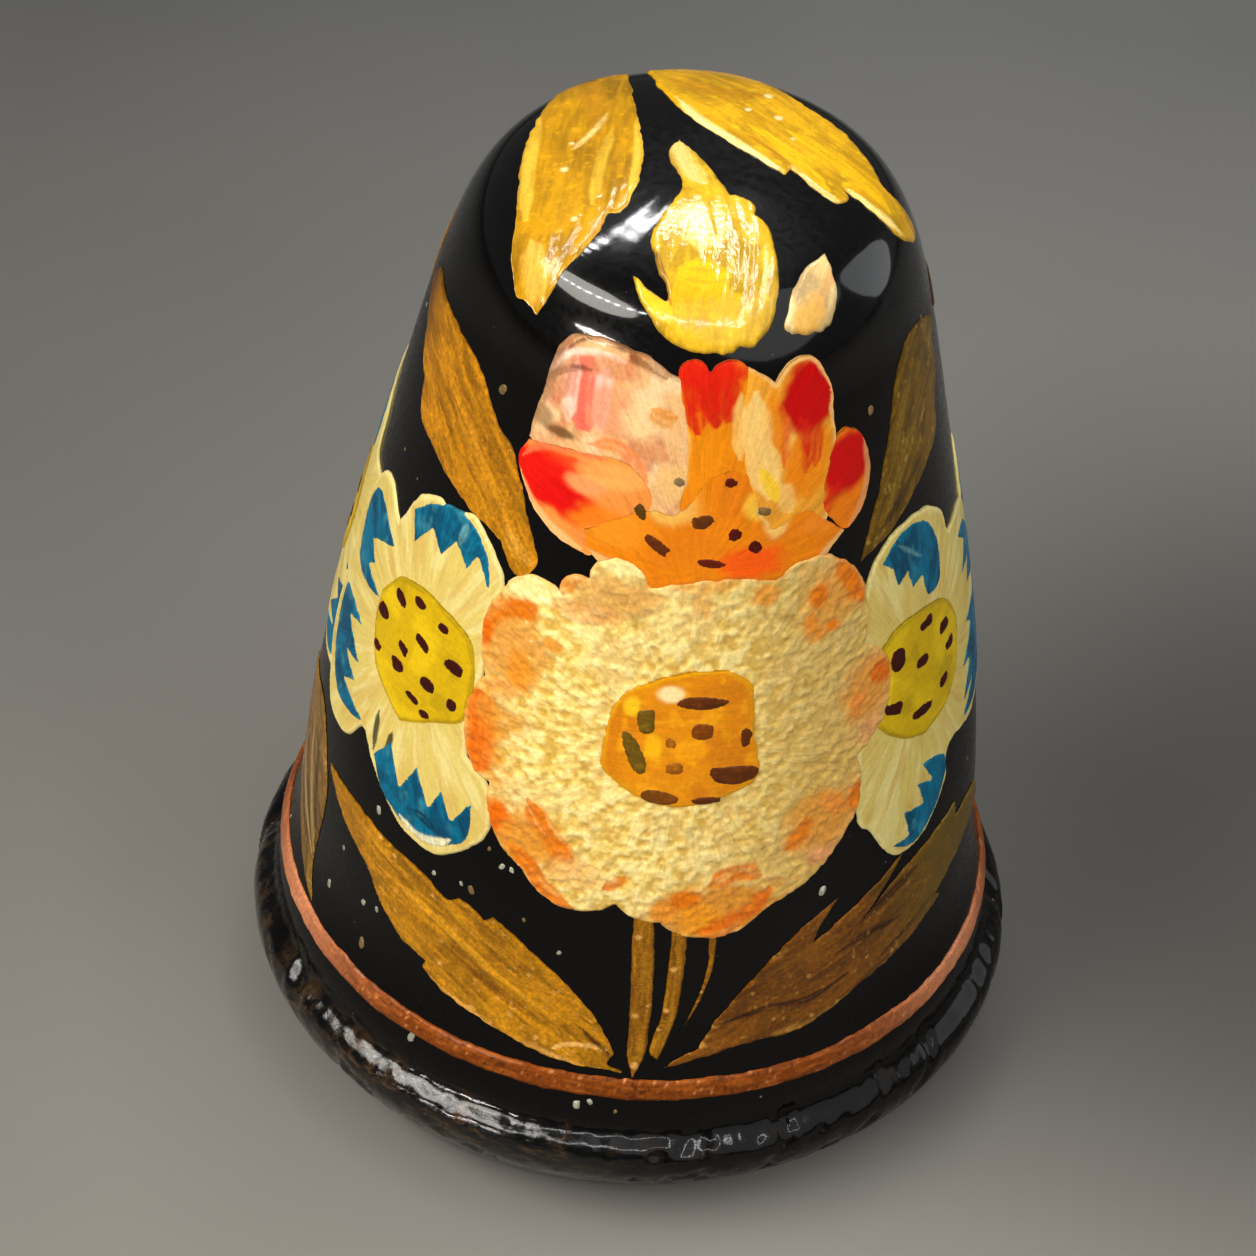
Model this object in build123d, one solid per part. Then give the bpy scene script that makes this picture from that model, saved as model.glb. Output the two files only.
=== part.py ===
from build123d import *
import math
import os

# Hand-painted lacquered wooden thimble. Millimetres, +Z up, standing on its open rim.
# The origin is the centre of the rim; the front of the bouquet faces -Y.
# Places on the wall are (degrees round from the front, height); places on the crown are (x, y).

os.makedirs("parts", exist_ok=True)

# --- driving dimensions ---------------------------------------------------------------
HEIGHT = 28.78  # bare wood, rim to crown
BEAD_RADIUS = 10.86  # widest ring of the foot bead, bare wood
BEAD_WIDEST_Z = 2.6
GROOVE_RADIUS = 10.18  # bottom of the cove between bead and wall
GROOVE_Z = 3.85
RIM_OUTER_RADIUS = 8.9
BORE_MOUTH_RADIUS = 8.2
BORE_TIP_RADIUS = 6.1
BORE_WALL_TOP = 20.0  # height where the bore turns into its rounded end
BORE_DEPTH = 25.6
MOUTH_CHAMFER = 0.4
LACQUER = 0.12  # black ground coat
PAINT = 0.10  # one coat of brushwork
EYE_PAINT = 0.08  # flower eyes, laid over the petals
DOT_PAINT = 0.06  # seeds and dots, laid over the eyes
BAND_LOW = 4.75
BAND_HIGH = 5.35
REACH = 16.0  # how far a motif's prism is pushed out, beyond every radius
BOUQUET_MIDDLE = 5  # the bouquet stands a little to the right of the front
CROWN_CUT = 25.5  # crown motifs are cut from the part of the coat above this height
CAP_RADIUS = 1.2  # the crown is flat within this radius
SPAN = 60.0  # side of a cutting block, wider than the whole thimble
CUT_DEPTH = 10.0
SMALLEST_DAB = 0.002  # cubic millimetres; anything smaller is a boolean leftover
LEFT_FLOWER_FACING = -52
RIGHT_FLOWER_FACING = 68
BEAD_STATIONS = 14
WALL_STATIONS = 20

UP = Vector(0, 0, 1)
INWARD = Vector(-1, 0, 0)


# --- the turned profile ----------------------------------------------------------------
bead_curve = Spline(
    (RIM_OUTER_RADIUS, 0, 0),
    (9.5, 0, 0.6),
    (10.25, 0, 1.5),
    (BEAD_RADIUS, 0, BEAD_WIDEST_Z),
    (10.72, 0, 3.17),
    (10.38, 0, 3.42),
    (GROOVE_RADIUS, 0, GROOVE_Z),
    tangents=(Vector(1, 0, 0.9), UP),
)
wall_curve = Spline(
    (GROOVE_RADIUS, 0, GROOVE_Z),
    (10.05, 0, 4.74),
    (9.72, 0, 5.77),
    (9.38, 0, 8.19),
    (9.11, 0, 10.98),
    (8.2, 0, 16.38),
    (7.18, 0, 21.17),
    (6.18, 0, 25.57),
    (5.59, 0, 27.25),
    (4.88, 0, 28.15),
    (3.87, 0, 28.51),
    (2.59, 0, 28.7),
    (CAP_RADIUS, 0, HEIGHT),
    tangents=(UP, INWARD),
)


def raised(curve, rise, stations):
    """The curve moved outwards along its normal by rise."""
    points = []
    for step in range(stations + 1):
        share = step / stations
        place = curve @ share
        along = curve % share
        points.append((place.X + along.Z * rise, 0, place.Z - along.X * rise))
    return Spline(*points, tangents=(curve % 0, curve % 1))


def turned(edges):
    """Solid of revolution about Z of the region inside a closed run of edges."""
    return revolve(Face(Wire(edges)), Axis.Z, 360)


def crown_edges(low, high):
    """Flat crown inside the cap radius, from the lower surface up the axis to the upper one."""
    low_middle = (0, 0, HEIGHT + low)
    high_middle = (0, 0, HEIGHT + high)
    return [
        Line((CAP_RADIUS, 0, HEIGHT + low), low_middle),
        Line(low_middle, high_middle),
        Line(high_middle, (CAP_RADIUS, 0, HEIGHT + high)),
    ]


def coat(low, high):
    """Coat on the wall and crown, from low to high above the bare wood."""
    inner = raised(wall_curve, low, WALL_STATIONS)
    outer = raised(wall_curve, high, WALL_STATIONS)
    return turned([inner, *crown_edges(low, high), outer, Line(outer @ 0, inner @ 0)])


wall_samples = [wall_curve @ (step / 200) for step in range(201)]


def wall_radius(height):
    """Radius of the bare wall at a height."""
    for below, above in zip(wall_samples, wall_samples[1:]):
        if below.Z <= height <= above.Z:
            share = (height - below.Z) / (above.Z - below.Z)
            return below.X + (above.X - below.X) * share
    return wall_samples[-1].X


# --- outlines --------------------------------------------------------------------------
def closed_face(runs, place):
    """Face bounded by runs of points; each run is one smooth curve, corners lie between runs."""
    edges = []
    for index, run in enumerate(runs):
        end = runs[(index + 1) % len(runs)][0]
        points = [place(*point) for point in run + [end]]
        if len(points) == 2:
            edges.append(Line(*points))
        elif len(points) == 3:
            edges.append(ThreePointArc(*points))
        else:
            edges.append(Spline(*points))
    return Face(Wire(edges))


def wall_prism(runs, facing):
    """Prism pushed radially out of the axis in the direction facing, from a wall outline."""
    plane = Plane(
        origin=(0, 0, 0),
        x_dir=(math.cos(math.radians(facing)), math.sin(math.radians(facing)), 0),
        z_dir=(math.sin(math.radians(facing)), -math.cos(math.radians(facing)), 0),
    )

    def place(angle, height):
        across = wall_radius(height) * math.sin(math.radians(angle - facing))
        return plane.from_local_coords((across, height, 0))

    face = closed_face(runs, place)
    return extrude(face, amount=REACH, dir=plane.z_dir)


def crown_prism(runs):
    """Upright prism over the crown."""
    face = closed_face(runs, lambda x, y: Vector(x, y, CROWN_CUT))
    return extrude(face, amount=REACH, dir=(0, 0, 1))


def ellipse_runs(angle, height, across, tall, tilt=0):
    """A small oval dab: half-width across in degrees, half-height tall, turned by tilt."""
    step_degrees = 45
    points = []
    scale = math.pi / 180 * wall_radius(height)
    for turn in range(0, 360, step_degrees):
        x = across * scale * math.cos(math.radians(turn))
        y = tall * math.sin(math.radians(turn))
        turned_x = x * math.cos(math.radians(tilt)) - y * math.sin(math.radians(tilt))
        turned_y = x * math.sin(math.radians(tilt)) + y * math.cos(math.radians(tilt))
        points.append((angle + turned_x / scale, height + turned_y))
    half = len(points) // 2
    return [points[:half], points[half:]]


def shifted(runs, turn):
    """The same outline moved round the wall."""
    return [[(angle + turn, height) for angle, height in run] for run in runs]


def turned_tips(tips, turn):
    """A set of outlines moved round the wall."""
    return {place: shifted(runs, turn) for place, runs in tips.items()}


def turned_dabs(spots, turn):
    """A set of dabs moved round the wall."""
    return [(angle + turn, *rest) for angle, *rest in spots]


# --- motif outlines on the wall, (degrees, height) ----------------------------------------
daisy = [
    [(-1.5, 21.0), (-6.5, 21.7)],
    [(-13.5, 20.9), (-17, 20.9)],
    [(-19, 20.3), (-25, 20.5)],
    [(-30.5, 19.9), (-33.8, 18.6)],
    [(-31, 17.1), (-34, 15.8)],
    [(-29.5, 14.2), (-28, 14.1)],
    [(-26.5, 14.1), (-25.4, 12.9)],
    [(-18.5, 11.8), (-10.5, 10.9)],
    [(-2, 11.3), (2, 10.85)],
    [(5.5, 10.8), (14, 10.2)],
    [(23.5, 11.0), (33, 11.8)],
    [(39.2, 12.9), (42, 14)],
    [(40.8, 15.0), (50, 16.5)],
    [(44, 18.3), (44.8, 20.0)],
    [(38, 21.2), (31, 21.5)],
    [(24, 21.1), (12, 21.3)],
]
daisy_eye = [
    [(3, 18.5), (9, 18.65), (15, 18.65), (19.6, 18.0), (20, 16.8), (21, 15.4), (15, 14.85), (6, 14.6)],
    [(-1, 14.9), (-6.6, 15.6), (-7, 16.4), (-5, 17.8)],
]
daisy_seeds = [
    (10.2, 17.75, 4.4, 0.2, -4),
    (0.4, 17.2, 1.6, 0.34, 0),
    (-1.4, 16.2, 1.5, 0.6, 22),
    (4.9, 16.55, 1.0, 0.17, 0),
    (10.4, 16.9, 2.0, 0.22, 0),
    (18.4, 16.65, 1.1, 0.25, 0),
    (6.0, 15.8, 1.5, 0.2, 0),
    (16.6, 15.55, 3.6, 0.26, -8),
    (3.6, 14.92, 2.9, 0.2, -8),
    (11.9, 14.82, 2.3, 0.12, 4),
]
tulip_bowl = [
    [(-16, 22.3), (-5, 23.1), (3, 23.2), (10, 24.2), (17, 24.2), (22, 22.6), (30, 22.9), (34, 22.6)],
    [(40, 21.9), (33, 21.35), (24, 20.95), (12, 21.05), (4, 21.05), (-6, 21.4), (-14, 21.6)],
]
tulip_left = [
    [(-16, 22.3), (-14, 21.6), (-22, 21.85), (-30, 22.7), (-33.5, 23.5)],
    [(-32, 24.1), (-20, 24.35), (-8, 24.3), (-3, 23.15)],
]
tulip_pink = [
    [(-32, 24.2), (-31, 25.6), (-29, 27.0)],
    [(-20, 27.3), (-9, 27.2), (-1, 26.8)],
    [(4, 26.7), (5.5, 25.4), (5, 24.2), (4, 23.0)],
    [(-6, 23.0), (-14, 23.6), (-24, 23.8)],
]
tulip_centre = [
    [(3, 23.2), (3.8, 24.6), (2.4, 25.8)],
    [(0.5, 26.8), (4.5, 27.2)],
    [(8, 26.9), (12.5, 27.2)],
    [(17.3, 26.7), (16.4, 25.4), (17.2, 24.0)],
    [(17.2, 23.4)],
]
tulip_upper_right = [
    [(15, 24.0), (15, 25.5), (16.5, 26.9)],
    [(20, 26.8)],
    [(24, 26.5), (28, 26.95), (34, 26.95), (38, 26.1)],
    [(38.8, 25.2), (38.8, 24.4), (37, 23.4), (34.5, 22.3), (24, 22.2)],
]
tulip_right = [
    [(34.5, 22.7), (35.5, 23.7), (39, 24.6), (43.5, 24.7), (47, 24.1)],
    [(48, 23.3), (46, 22.5), (40.5, 21.95)],
]
tulip_dots = [
    (13.6, 24.0, 1.5, 0.13, -20),
    (8.3, 22.95, 2.0, 0.18, 10),
    (-5.0, 23.1, 1.2, 0.2, 30),
    (14.8, 22.55, 1.4, 0.16, -15),
    (-0.8, 22.2, 2.6, 0.15, -38),
    (19.4, 22.1, 1.3, 0.2, 35),
    (10.2, 21.75, 2.6, 0.13, -8),
    (2.6, 24.0, 1.2, 0.12, -30),
    (21.2, 23.1, 1.5, 0.12, -20),
]
blue_left = [
    [(-62.5, 19.1), (-70, 19.7), (-77, 19.2), (-80.5, 17.6), (-80, 16.4)],
    [(-79.5, 15.4), (-79.6, 14.2), (-76, 12.9), (-70, 11.85), (-62, 11.9), (-57, 12.8)],
    [(-53, 12.2), (-44, 11.15), (-36, 10.9), (-29, 11.6), (-25, 12.7), (-27, 14.0)],
    [(-31.5, 14.5), (-33.5, 16), (-31.5, 17.2), (-33, 18.6), (-30.8, 19.8)],
    [(-34.5, 20.6), (-41, 21.2), (-48, 20.9), (-52, 20.9), (-58, 20.4)],
]
blue_left_tips = {
    "top": [
        [(-58.5, 20.0), (-52, 20.75), (-43, 21.1), (-36, 20.5), (-33.5, 19.4)],
        [(-38, 20.2)],
        [(-40, 19.6)],
        [(-44, 20.2)],
        [(-47, 19.5)],
        [(-51, 20.0)],
        [(-55.5, 19.1)],
    ],
    "upper": [
        [(-60.5, 18.4), (-70, 19.0), (-76, 18.8), (-77.5, 17.7), (-73, 16.5), (-61.5, 16.65)],
        [(-68.5, 17.0)],
        [(-66, 17.3)],
        [(-70, 17.7)],
        [(-65, 18.1)],
    ],
    "lower": [
        [(-64, 15.35), (-72, 15.55), (-77, 15.3), (-75, 13.7), (-68, 12.6), (-57.5, 12.95)],
        [(-66.5, 13.3)],
        [(-62, 13.7)],
        [(-68, 14.1)],
        [(-62, 14.3)],
        [(-70.5, 15.0)],
    ],
    "bottom": [
        [(-52.5, 12.5), (-48, 11.6), (-38, 11.1), (-31, 11.6), (-28.5, 12.2)],
        [(-29, 13.3)],
        [(-32.5, 12.35)],
        [(-35.5, 13.1)],
        [(-37.5, 12.35)],
        [(-41.5, 13.3)],
        [(-44.5, 12.3)],
        [(-48.5, 13.4)],
    ],
}
blue_left_eye = [
    [(-61.3, 17.0), (-56, 18.0), (-48, 18.3), (-38, 18.05), (-33.8, 17.4), (-33.2, 15.6), (-40, 14.85)],
    [(-47.5, 14.15), (-57, 14.95), (-60.8, 16.0)],
]
blue_left_seeds = [
    (-54.5, 17.45, 1.7, 0.18, -15),
    (-49, 17.85, 1.5, 0.16, 0),
    (-42, 17.7, 1.4, 0.14, 0),
    (-58.7, 16.6, 1.7, 0.18, 0),
    (-46, 16.85, 1.8, 0.17, -12),
    (-37.6, 16.85, 2.0, 0.18, -5),
    (-50.6, 16.25, 1.4, 0.16, -20),
    (-51.2, 15.65, 1.6, 0.17, 0),
    (-42.6, 15.85, 1.7, 0.18, 0),
    (-36.5, 15.75, 1.1, 0.18, 0),
    (-57.8, 15.55, 1.3, 0.14, -15),
    (-45.5, 15.15, 1.6, 0.12, -10),
    (-42, 14.95, 1.3, 0.12, 5),
]
blue_right = [
    [(42.5, 18.8), (45.5, 20.0), (50, 20.75), (57, 21.0), (66, 20.8), (73.5, 20.0), (75.5, 19.2)],
    [(84, 19.1), (92, 18.5), (99, 17.2), (101, 15.6), (98, 14.2), (91, 13.0), (80, 12.5), (67.5, 12.9)],
    [(65.5, 12.0), (61, 11.2), (55, 10.75), (49, 11.0), (44, 12.2), (40.5, 13.4)],
]
blue_right_tips = {
    "top": [
        [(49, 20.3), (56, 20.85), (65, 20.5), (69.5, 19.4), (68.5, 18.3), (63.5, 18.2)],
        [(61.5, 19.0)],
        [(58, 18.9)],
        [(57, 19.5)],
        [(53.5, 19.3)],
        [(52.5, 19.9)],
    ],
    "upper": [
        [(80, 18.4), (88, 18.2), (96, 16.9), (98.5, 15.6), (92, 15.9)],
        [(84, 16.4)],
        [(88, 16.9)],
        [(80.5, 17.1)],
        [(86, 17.7)],
    ],
    "lower": [
        [(79, 15.6), (88, 15.5), (96, 14.9), (93, 13.6), (84, 12.8), (74, 12.95)],
        [(81, 13.5)],
        [(74, 13.4)],
        [(80, 14.3)],
        [(75, 14.5)],
        [(84, 15.1)],
    ],
    "bottom": [
        [(47.5, 11.35), (54.5, 10.85), (61, 11.35), (65, 12.2), (64.5, 12.9), (57.5, 13.3)],
        [(60, 12.5)],
        [(55.5, 12.8)],
        [(57, 12.0)],
        [(51.5, 12.2)],
        [(53, 11.3)],
    ],
}
blue_right_eye = [
    [(45.5, 17.6), (52, 18.15), (61, 18.05), (69, 17.6), (73.8, 16.6), (72.5, 15.3), (67, 14.45)],
    [(58.5, 14.2), (51.5, 14.7), (46, 15.5), (43.5, 16.5)],
]
blue_right_seeds = [
    (52, 17.2, 1.9, 0.28, -10),
    (61.3, 17.55, 2.0, 0.17, 0),
    (59, 16.55, 1.7, 0.17, -8),
    (67.6, 16.85, 1.9, 0.2, 5),
    (69.2, 16.1, 1.6, 0.18, 0),
    (65.6, 15.25, 1.6, 0.17, 5),
    (58, 15.05, 2.7, 0.17, -6),
    (50, 15.8, 1.9, 0.2, -18),
]
FAR_TURN = -160.5  # the flower beyond the left one repeats the right one, this far round
NEAR_BACK_TURN = 170  # the flower beyond the right one repeats the left one, this far round
lower_leaf_left = [
    [(-66, 10.3), (-55, 10.4), (-44, 10.2), (-37, 10.1), (-31.5, 9.7)],
    [(-29, 9.95), (-26, 9.8)],
    [(-24, 9.55)],
    [(-22.5, 9.85), (-15, 9.1), (-8.5, 8.2), (-3.5, 7.2)],
    [(0, 6.1)],
    [(-1, 5.75)],
    [(1.5, 5.55), (-9, 5.68), (-19, 6.05), (-30, 6.5)],
    [(-34.5, 6.9)],
    [(-34, 7.15), (-40, 7.4), (-45, 8.0), (-50, 8.8), (-59, 9.5)],
]
lower_leaf_right = [
    [(8, 5.72), (15, 6.0), (22, 6.25), (31, 6.25), (42, 6.85), (55, 7.35)],
    [(64.5, 7.75)],
    [(62, 8.0), (71, 8.4), (79, 8.5)],
    [(89, 8.2), (83, 9.3), (76, 9.8)],
    [(70, 9.9)],
    [(69.5, 10.55), (60, 10.4), (50, 10.0)],
    [(43, 9.3)],
    [(52, 10.75), (45, 10.25), (39, 9.8)],
    [(32.5, 9.2), (34, 9.8)],
    [(37.2, 10.5), (31, 10.0), (25, 9.1), (20, 8.1), (15.5, 7.0)],
    [(13.5, 6.3)],
]
far_left_leaf = [
    [(-63, 5.45), (-67, 6.4), (-66.5, 7.6), (-65.5, 9.0), (-68, 10.2), (-74.5, 11.3)],
    [(-84, 11.1)],
    [(-92, 10.7)],
    [(-88, 9.9)],
    [(-98, 9.7)],
    [(-93, 8.9)],
    [(-100, 8.3), (-92, 7.4), (-80, 6.7), (-71, 5.95)],
]
upper_leaf_left = [
    [(-88, 24.9), (-82, 25.5), (-72, 25.4), (-62, 25.35), (-50, 25.0), (-42, 24.1), (-35, 23.5)],
    [(-30, 22.3), (-25, 20.9), (-29, 20.3)],
    [(-34, 21.0), (-47, 21.45), (-58, 21.9), (-66, 22.2)],
    [(-70, 23.1), (-74, 23.4)],
    [(-77, 24.0), (-82, 24.4)],
]
upper_leaf_right = [
    [(44, 20.7), (47.5, 21.7), (52, 22.9), (57, 24.4), (61, 25.4), (68, 25.9)],
    [(76, 25.8)],
    [(86, 25.2)],
    [(81, 24.7)],
    [(83, 24.2), (77.5, 23.2), (75.5, 22.4), (66, 21.8), (54, 21.1)],
]
stems = [
    [[(1.2, 11.5), (1.3, 10.0), (1.9, 8.0), (2.1, 6.2)], [(3.2, 5.4), (5.1, 6.4), (5.2, 9.0), (3.9, 11.5)]],
    [[(7.6, 11.2), (7.6, 9.5), (7.2, 7.6), (5.6, 6.3)], [(7.0, 5.95), (9.4, 7.4), (10.2, 9.5), (9.7, 11.2)]],
    [[(14.0, 10.5), (14.0, 9.2), (12.8, 8.1)], [(11.0, 7.1), (13.6, 8.2), (15.0, 9.3), (14.9, 10.5)]],
]
# --- motif outlines on the crown, (x, y) ---------------------------------------------------
crown_leaves = {
    "crown_leaf_left": [
        [(-3.6, -4.5), (-4.3, -3.6), (-4.4, -1.8), (-4.4, 0.4), (-4.0, 2.6), (-3.3, 4.1)],
        [(-2.0, 4.3), (-1.7, 2.4), (-1.4, 0.6), (-1.4, -0.8), (-1.7, -2.1)],
        [(-2.1, -2.2), (-2.4, -3.2), (-3.2, -4.2)],
    ],
    "crown_leaf_right": [
        [(-1.5, 4.6), (-1.1, 3.4), (-0.3, 2.1), (0.9, 1.0)],
        [(2.25, -0.05)],
        [(2.4, 0.25), (3.0, -0.35)],
        [(3.6, -0.85), (3.88, -0.6)],
        [(3.8, -0.2), (4.5, -0.65)],
        [(5.2, -0.95), (5.6, -0.5)],
        [(5.65, 0.25)],
        [(4.9, 0.35)],
        [(4.6, 0.95), (3.9, 2.2), (2.9, 3.2), (1.6, 4.4), (0.2, 4.9)],
    ],
    "crown_leaf_centre": [
        [(-0.5, 1.0), (-0.7, 0.3), (-0.3, -1.0), (-0.8, -2.4), (-0.9, -3.4), (-0.4, -4.9)],
        [(-1.3, -4.3), (-1.0, -5.0), (-0.3, -5.55), (0.8, -5.65), (2.1, -5.1), (2.3, -4.0), (2.0, -2.4)],
        [(1.6, -1.8), (1.2, -1.2)],
        [(0.9, -1.2), (0.4, -0.2)],
    ],
    "crown_leaf_small": [
        [(3.4, -2.75), (2.9, -3.4), (2.55, -4.7)],
        [(2.75, -4.85), (3.5, -4.4), (3.8, -3.7)],
    ],
}

# --- the turned pieces ------------------------------------------------------------------
parts = {}
rim_inner = (BORE_MOUTH_RADIUS + MOUTH_CHAMFER, 0, 0)
bore_foot = (BORE_MOUTH_RADIUS, 0, MOUTH_CHAMFER)
bore_shoulder = (BORE_TIP_RADIUS, 0, BORE_WALL_TOP)
bore_end = (0, 0, BORE_DEPTH)
bore_lean = Vector(BORE_TIP_RADIUS - BORE_MOUTH_RADIUS, 0, BORE_WALL_TOP - MOUTH_CHAMFER)
bare_bead = raised(bead_curve, 0, BEAD_STATIONS)
bare_wall = raised(wall_curve, 0, WALL_STATIONS)
parts["wood_body"] = turned(
    [
        bare_bead,
        bare_wall,
        Line((CAP_RADIUS, 0, HEIGHT), (0, 0, HEIGHT)),
        Line((0, 0, HEIGHT), bore_end),
        Spline(bore_end, bore_shoulder, tangents=(Vector(1, 0, 0), -bore_lean)),
        Line(bore_shoulder, bore_foot),
        Line(bore_foot, rim_inner),
        Line(rim_inner, (RIM_OUTER_RADIUS, 0, 0)),
    ]
)
lacquer_bead = raised(bead_curve, LACQUER, BEAD_STATIONS)
lacquer_wall = raised(wall_curve, LACQUER, WALL_STATIONS)
skin = turned(
    [
        bare_bead,
        bare_wall,
        *crown_edges(0, LACQUER),
        lacquer_wall,
        lacquer_bead,
        Line(lacquer_bead @ 0, bare_bead @ 0),
    ]
)
floor_cut = Pos(0, 0, -CUT_DEPTH / 2) * Box(SPAN, SPAN, CUT_DEPTH)
parts["black_lacquer"] = skin - floor_cut

LOW = LACQUER
MIDDLE = LOW + PAINT
TOP = MIDDLE + EYE_PAINT
ground_coat = coat(LOW, MIDDLE)
eye_coat = coat(MIDDLE, TOP)
dot_coat = coat(TOP, TOP + DOT_PAINT)
bowl_dot_coat = coat(MIDDLE, MIDDLE + DOT_PAINT)

band_height = BAND_HIGH - BAND_LOW
band_block = Pos(0, 0, (BAND_LOW + BAND_HIGH) / 2) * Box(SPAN, SPAN, band_height)
parts["copper_band"] = ground_coat & band_block


# --- painted motifs -----------------------------------------------------------------------
def painted(layer, prisms, above=()):
    """Brushwork: what the prisms cut from a coat, less whatever was painted over it."""
    pieces = []
    for prism in prisms:
        piece = layer & prism
        for cover in above:
            piece = piece - cover
        pieces += [solid for solid in piece.solids() if solid.volume > SMALLEST_DAB]
    return Compound(children=pieces) if len(pieces) > 1 else pieces[0]


def dabs(layer, spots, facing):
    """Small oval dabs of one colour."""
    return painted(layer, [wall_prism(ellipse_runs(*spot), facing) for spot in spots])


def bouquet(name, turn):
    """Daisy, tulip and stems on one side of the thimble."""

    def prism(runs, offset=0):
        return wall_prism(shifted(runs, turn), BOUQUET_MIDDLE + turn + offset)

    flower = prism(daisy)
    bowl = prism(tulip_bowl)
    petals = {
        "left_petal": prism(tulip_left, -15),
        "centre_petal": prism(tulip_centre),
        "right_petal": prism(tulip_right, 30),
        "upper_right_petal": prism(tulip_upper_right, 20),
        "pink_petal": prism(tulip_pink, -15),
    }
    facing = BOUQUET_MIDDLE + turn
    parts[name + "daisy_petals"] = painted(ground_coat, [flower])
    parts[name + "daisy_eye"] = painted(eye_coat, [prism(daisy_eye)])
    parts[name + "daisy_seeds"] = dabs(dot_coat, turned_dabs(daisy_seeds, turn), facing)
    parts[name + "tulip_bowl"] = painted(ground_coat, [bowl], [flower])
    above = [flower, bowl]
    for petal, shape in petals.items():
        parts[name + "tulip_" + petal] = painted(ground_coat, [shape], above)
        above.append(shape)
    parts[name + "tulip_dots"] = dabs(bowl_dot_coat, turned_dabs(tulip_dots, turn), facing)
    parts[name + "stems"] = painted(ground_coat, [prism(run) for run in stems], [flower])
    return above


def blue_flower(name, petals, tips, eye, seeds, facing, above):
    """Cream petals with blue tips, yellow eye and dark seeds."""
    tip_prisms = [wall_prism(runs, facing) for runs in tips.values()]
    petal_prism = wall_prism(petals, facing)
    eye_prism = wall_prism(eye, facing)
    parts[name + "_petals"] = painted(ground_coat, [petal_prism], above + tip_prisms)
    parts[name + "_blue_tips"] = painted(ground_coat, tip_prisms, above)
    parts[name + "_eye"] = painted(eye_coat, [eye_prism], above)
    parts[name + "_seeds"] = dabs(dot_coat, seeds, facing)
    return petal_prism


front = bouquet("", 0)
back = bouquet("back_", 180)
left_flower = blue_flower(
    "blue_flower_left",
    blue_left,
    blue_left_tips,
    blue_left_eye,
    blue_left_seeds,
    LEFT_FLOWER_FACING,
    front,
)
right_flower = blue_flower(
    "blue_flower_right",
    blue_right,
    blue_right_tips,
    blue_right_eye,
    blue_right_seeds,
    RIGHT_FLOWER_FACING,
    front,
)
far_flower = blue_flower(
    "blue_flower_far_left",
    shifted(blue_right, FAR_TURN),
    turned_tips(blue_right_tips, FAR_TURN),
    shifted(blue_right_eye, FAR_TURN),
    turned_dabs(blue_right_seeds, FAR_TURN),
    RIGHT_FLOWER_FACING + FAR_TURN,
    front + back + [left_flower],
)
near_back_flower = blue_flower(
    "blue_flower_far_right",
    shifted(blue_left, NEAR_BACK_TURN),
    turned_tips(blue_left_tips, NEAR_BACK_TURN),
    shifted(blue_left_eye, NEAR_BACK_TURN),
    turned_dabs(blue_left_seeds, NEAR_BACK_TURN),
    LEFT_FLOWER_FACING + NEAR_BACK_TURN,
    front + back + [right_flower],
)

leaf_covers = front + back + [left_flower, right_flower, far_flower, near_back_flower]
wall_leaves = {
    "lower_leaf_left": (lower_leaf_left, -30),
    "lower_leaf_right": (lower_leaf_right, 45),
    "lower_leaf_far_left": (far_left_leaf, -80),
    "upper_leaf_left": (upper_leaf_left, -55),
    "upper_leaf_right": (upper_leaf_right, 65),
    "back_lower_leaf_left": (shifted(lower_leaf_left, 180), 150),
    "back_lower_leaf_right": (shifted(lower_leaf_right, 180), 225),
    "back_upper_leaf_left": (shifted(upper_leaf_left, 180), 125),
    "back_upper_leaf_right": (shifted(upper_leaf_right, 180), 245),
}
for node, (runs, facing) in wall_leaves.items():
    shape = wall_prism(runs, facing)
    parts[node] = painted(ground_coat, [shape], leaf_covers)
    leaf_covers.append(shape)
for node, runs in crown_leaves.items():
    parts[node] = painted(ground_coat, [crown_prism(runs)])

for node, shape in parts.items():
    export_step(shape, f"parts/{node}.step")
    box = shape.bounding_box()
    print(node, len(shape.solids()), round(shape.volume, 3), box.size)
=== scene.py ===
import math
import random

import bpy
import numpy as np
from mathutils import Matrix, Vector
from mathutils.geometry import delaunay_2d_cdt


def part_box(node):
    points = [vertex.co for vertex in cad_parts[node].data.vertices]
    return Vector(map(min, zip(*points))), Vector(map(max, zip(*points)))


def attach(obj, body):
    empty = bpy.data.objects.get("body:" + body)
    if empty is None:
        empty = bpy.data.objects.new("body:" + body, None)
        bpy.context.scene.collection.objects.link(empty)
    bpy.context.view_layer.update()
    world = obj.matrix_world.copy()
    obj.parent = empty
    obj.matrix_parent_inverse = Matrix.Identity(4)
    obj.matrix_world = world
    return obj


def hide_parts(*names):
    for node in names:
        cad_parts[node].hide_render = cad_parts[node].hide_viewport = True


# A khokhloma-style painted wooden thimble. The turned body, its lacquer and every brushed motif are
# meshes laid on the same surface of revolution as the CAD solids, in millimetres times MM.

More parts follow.
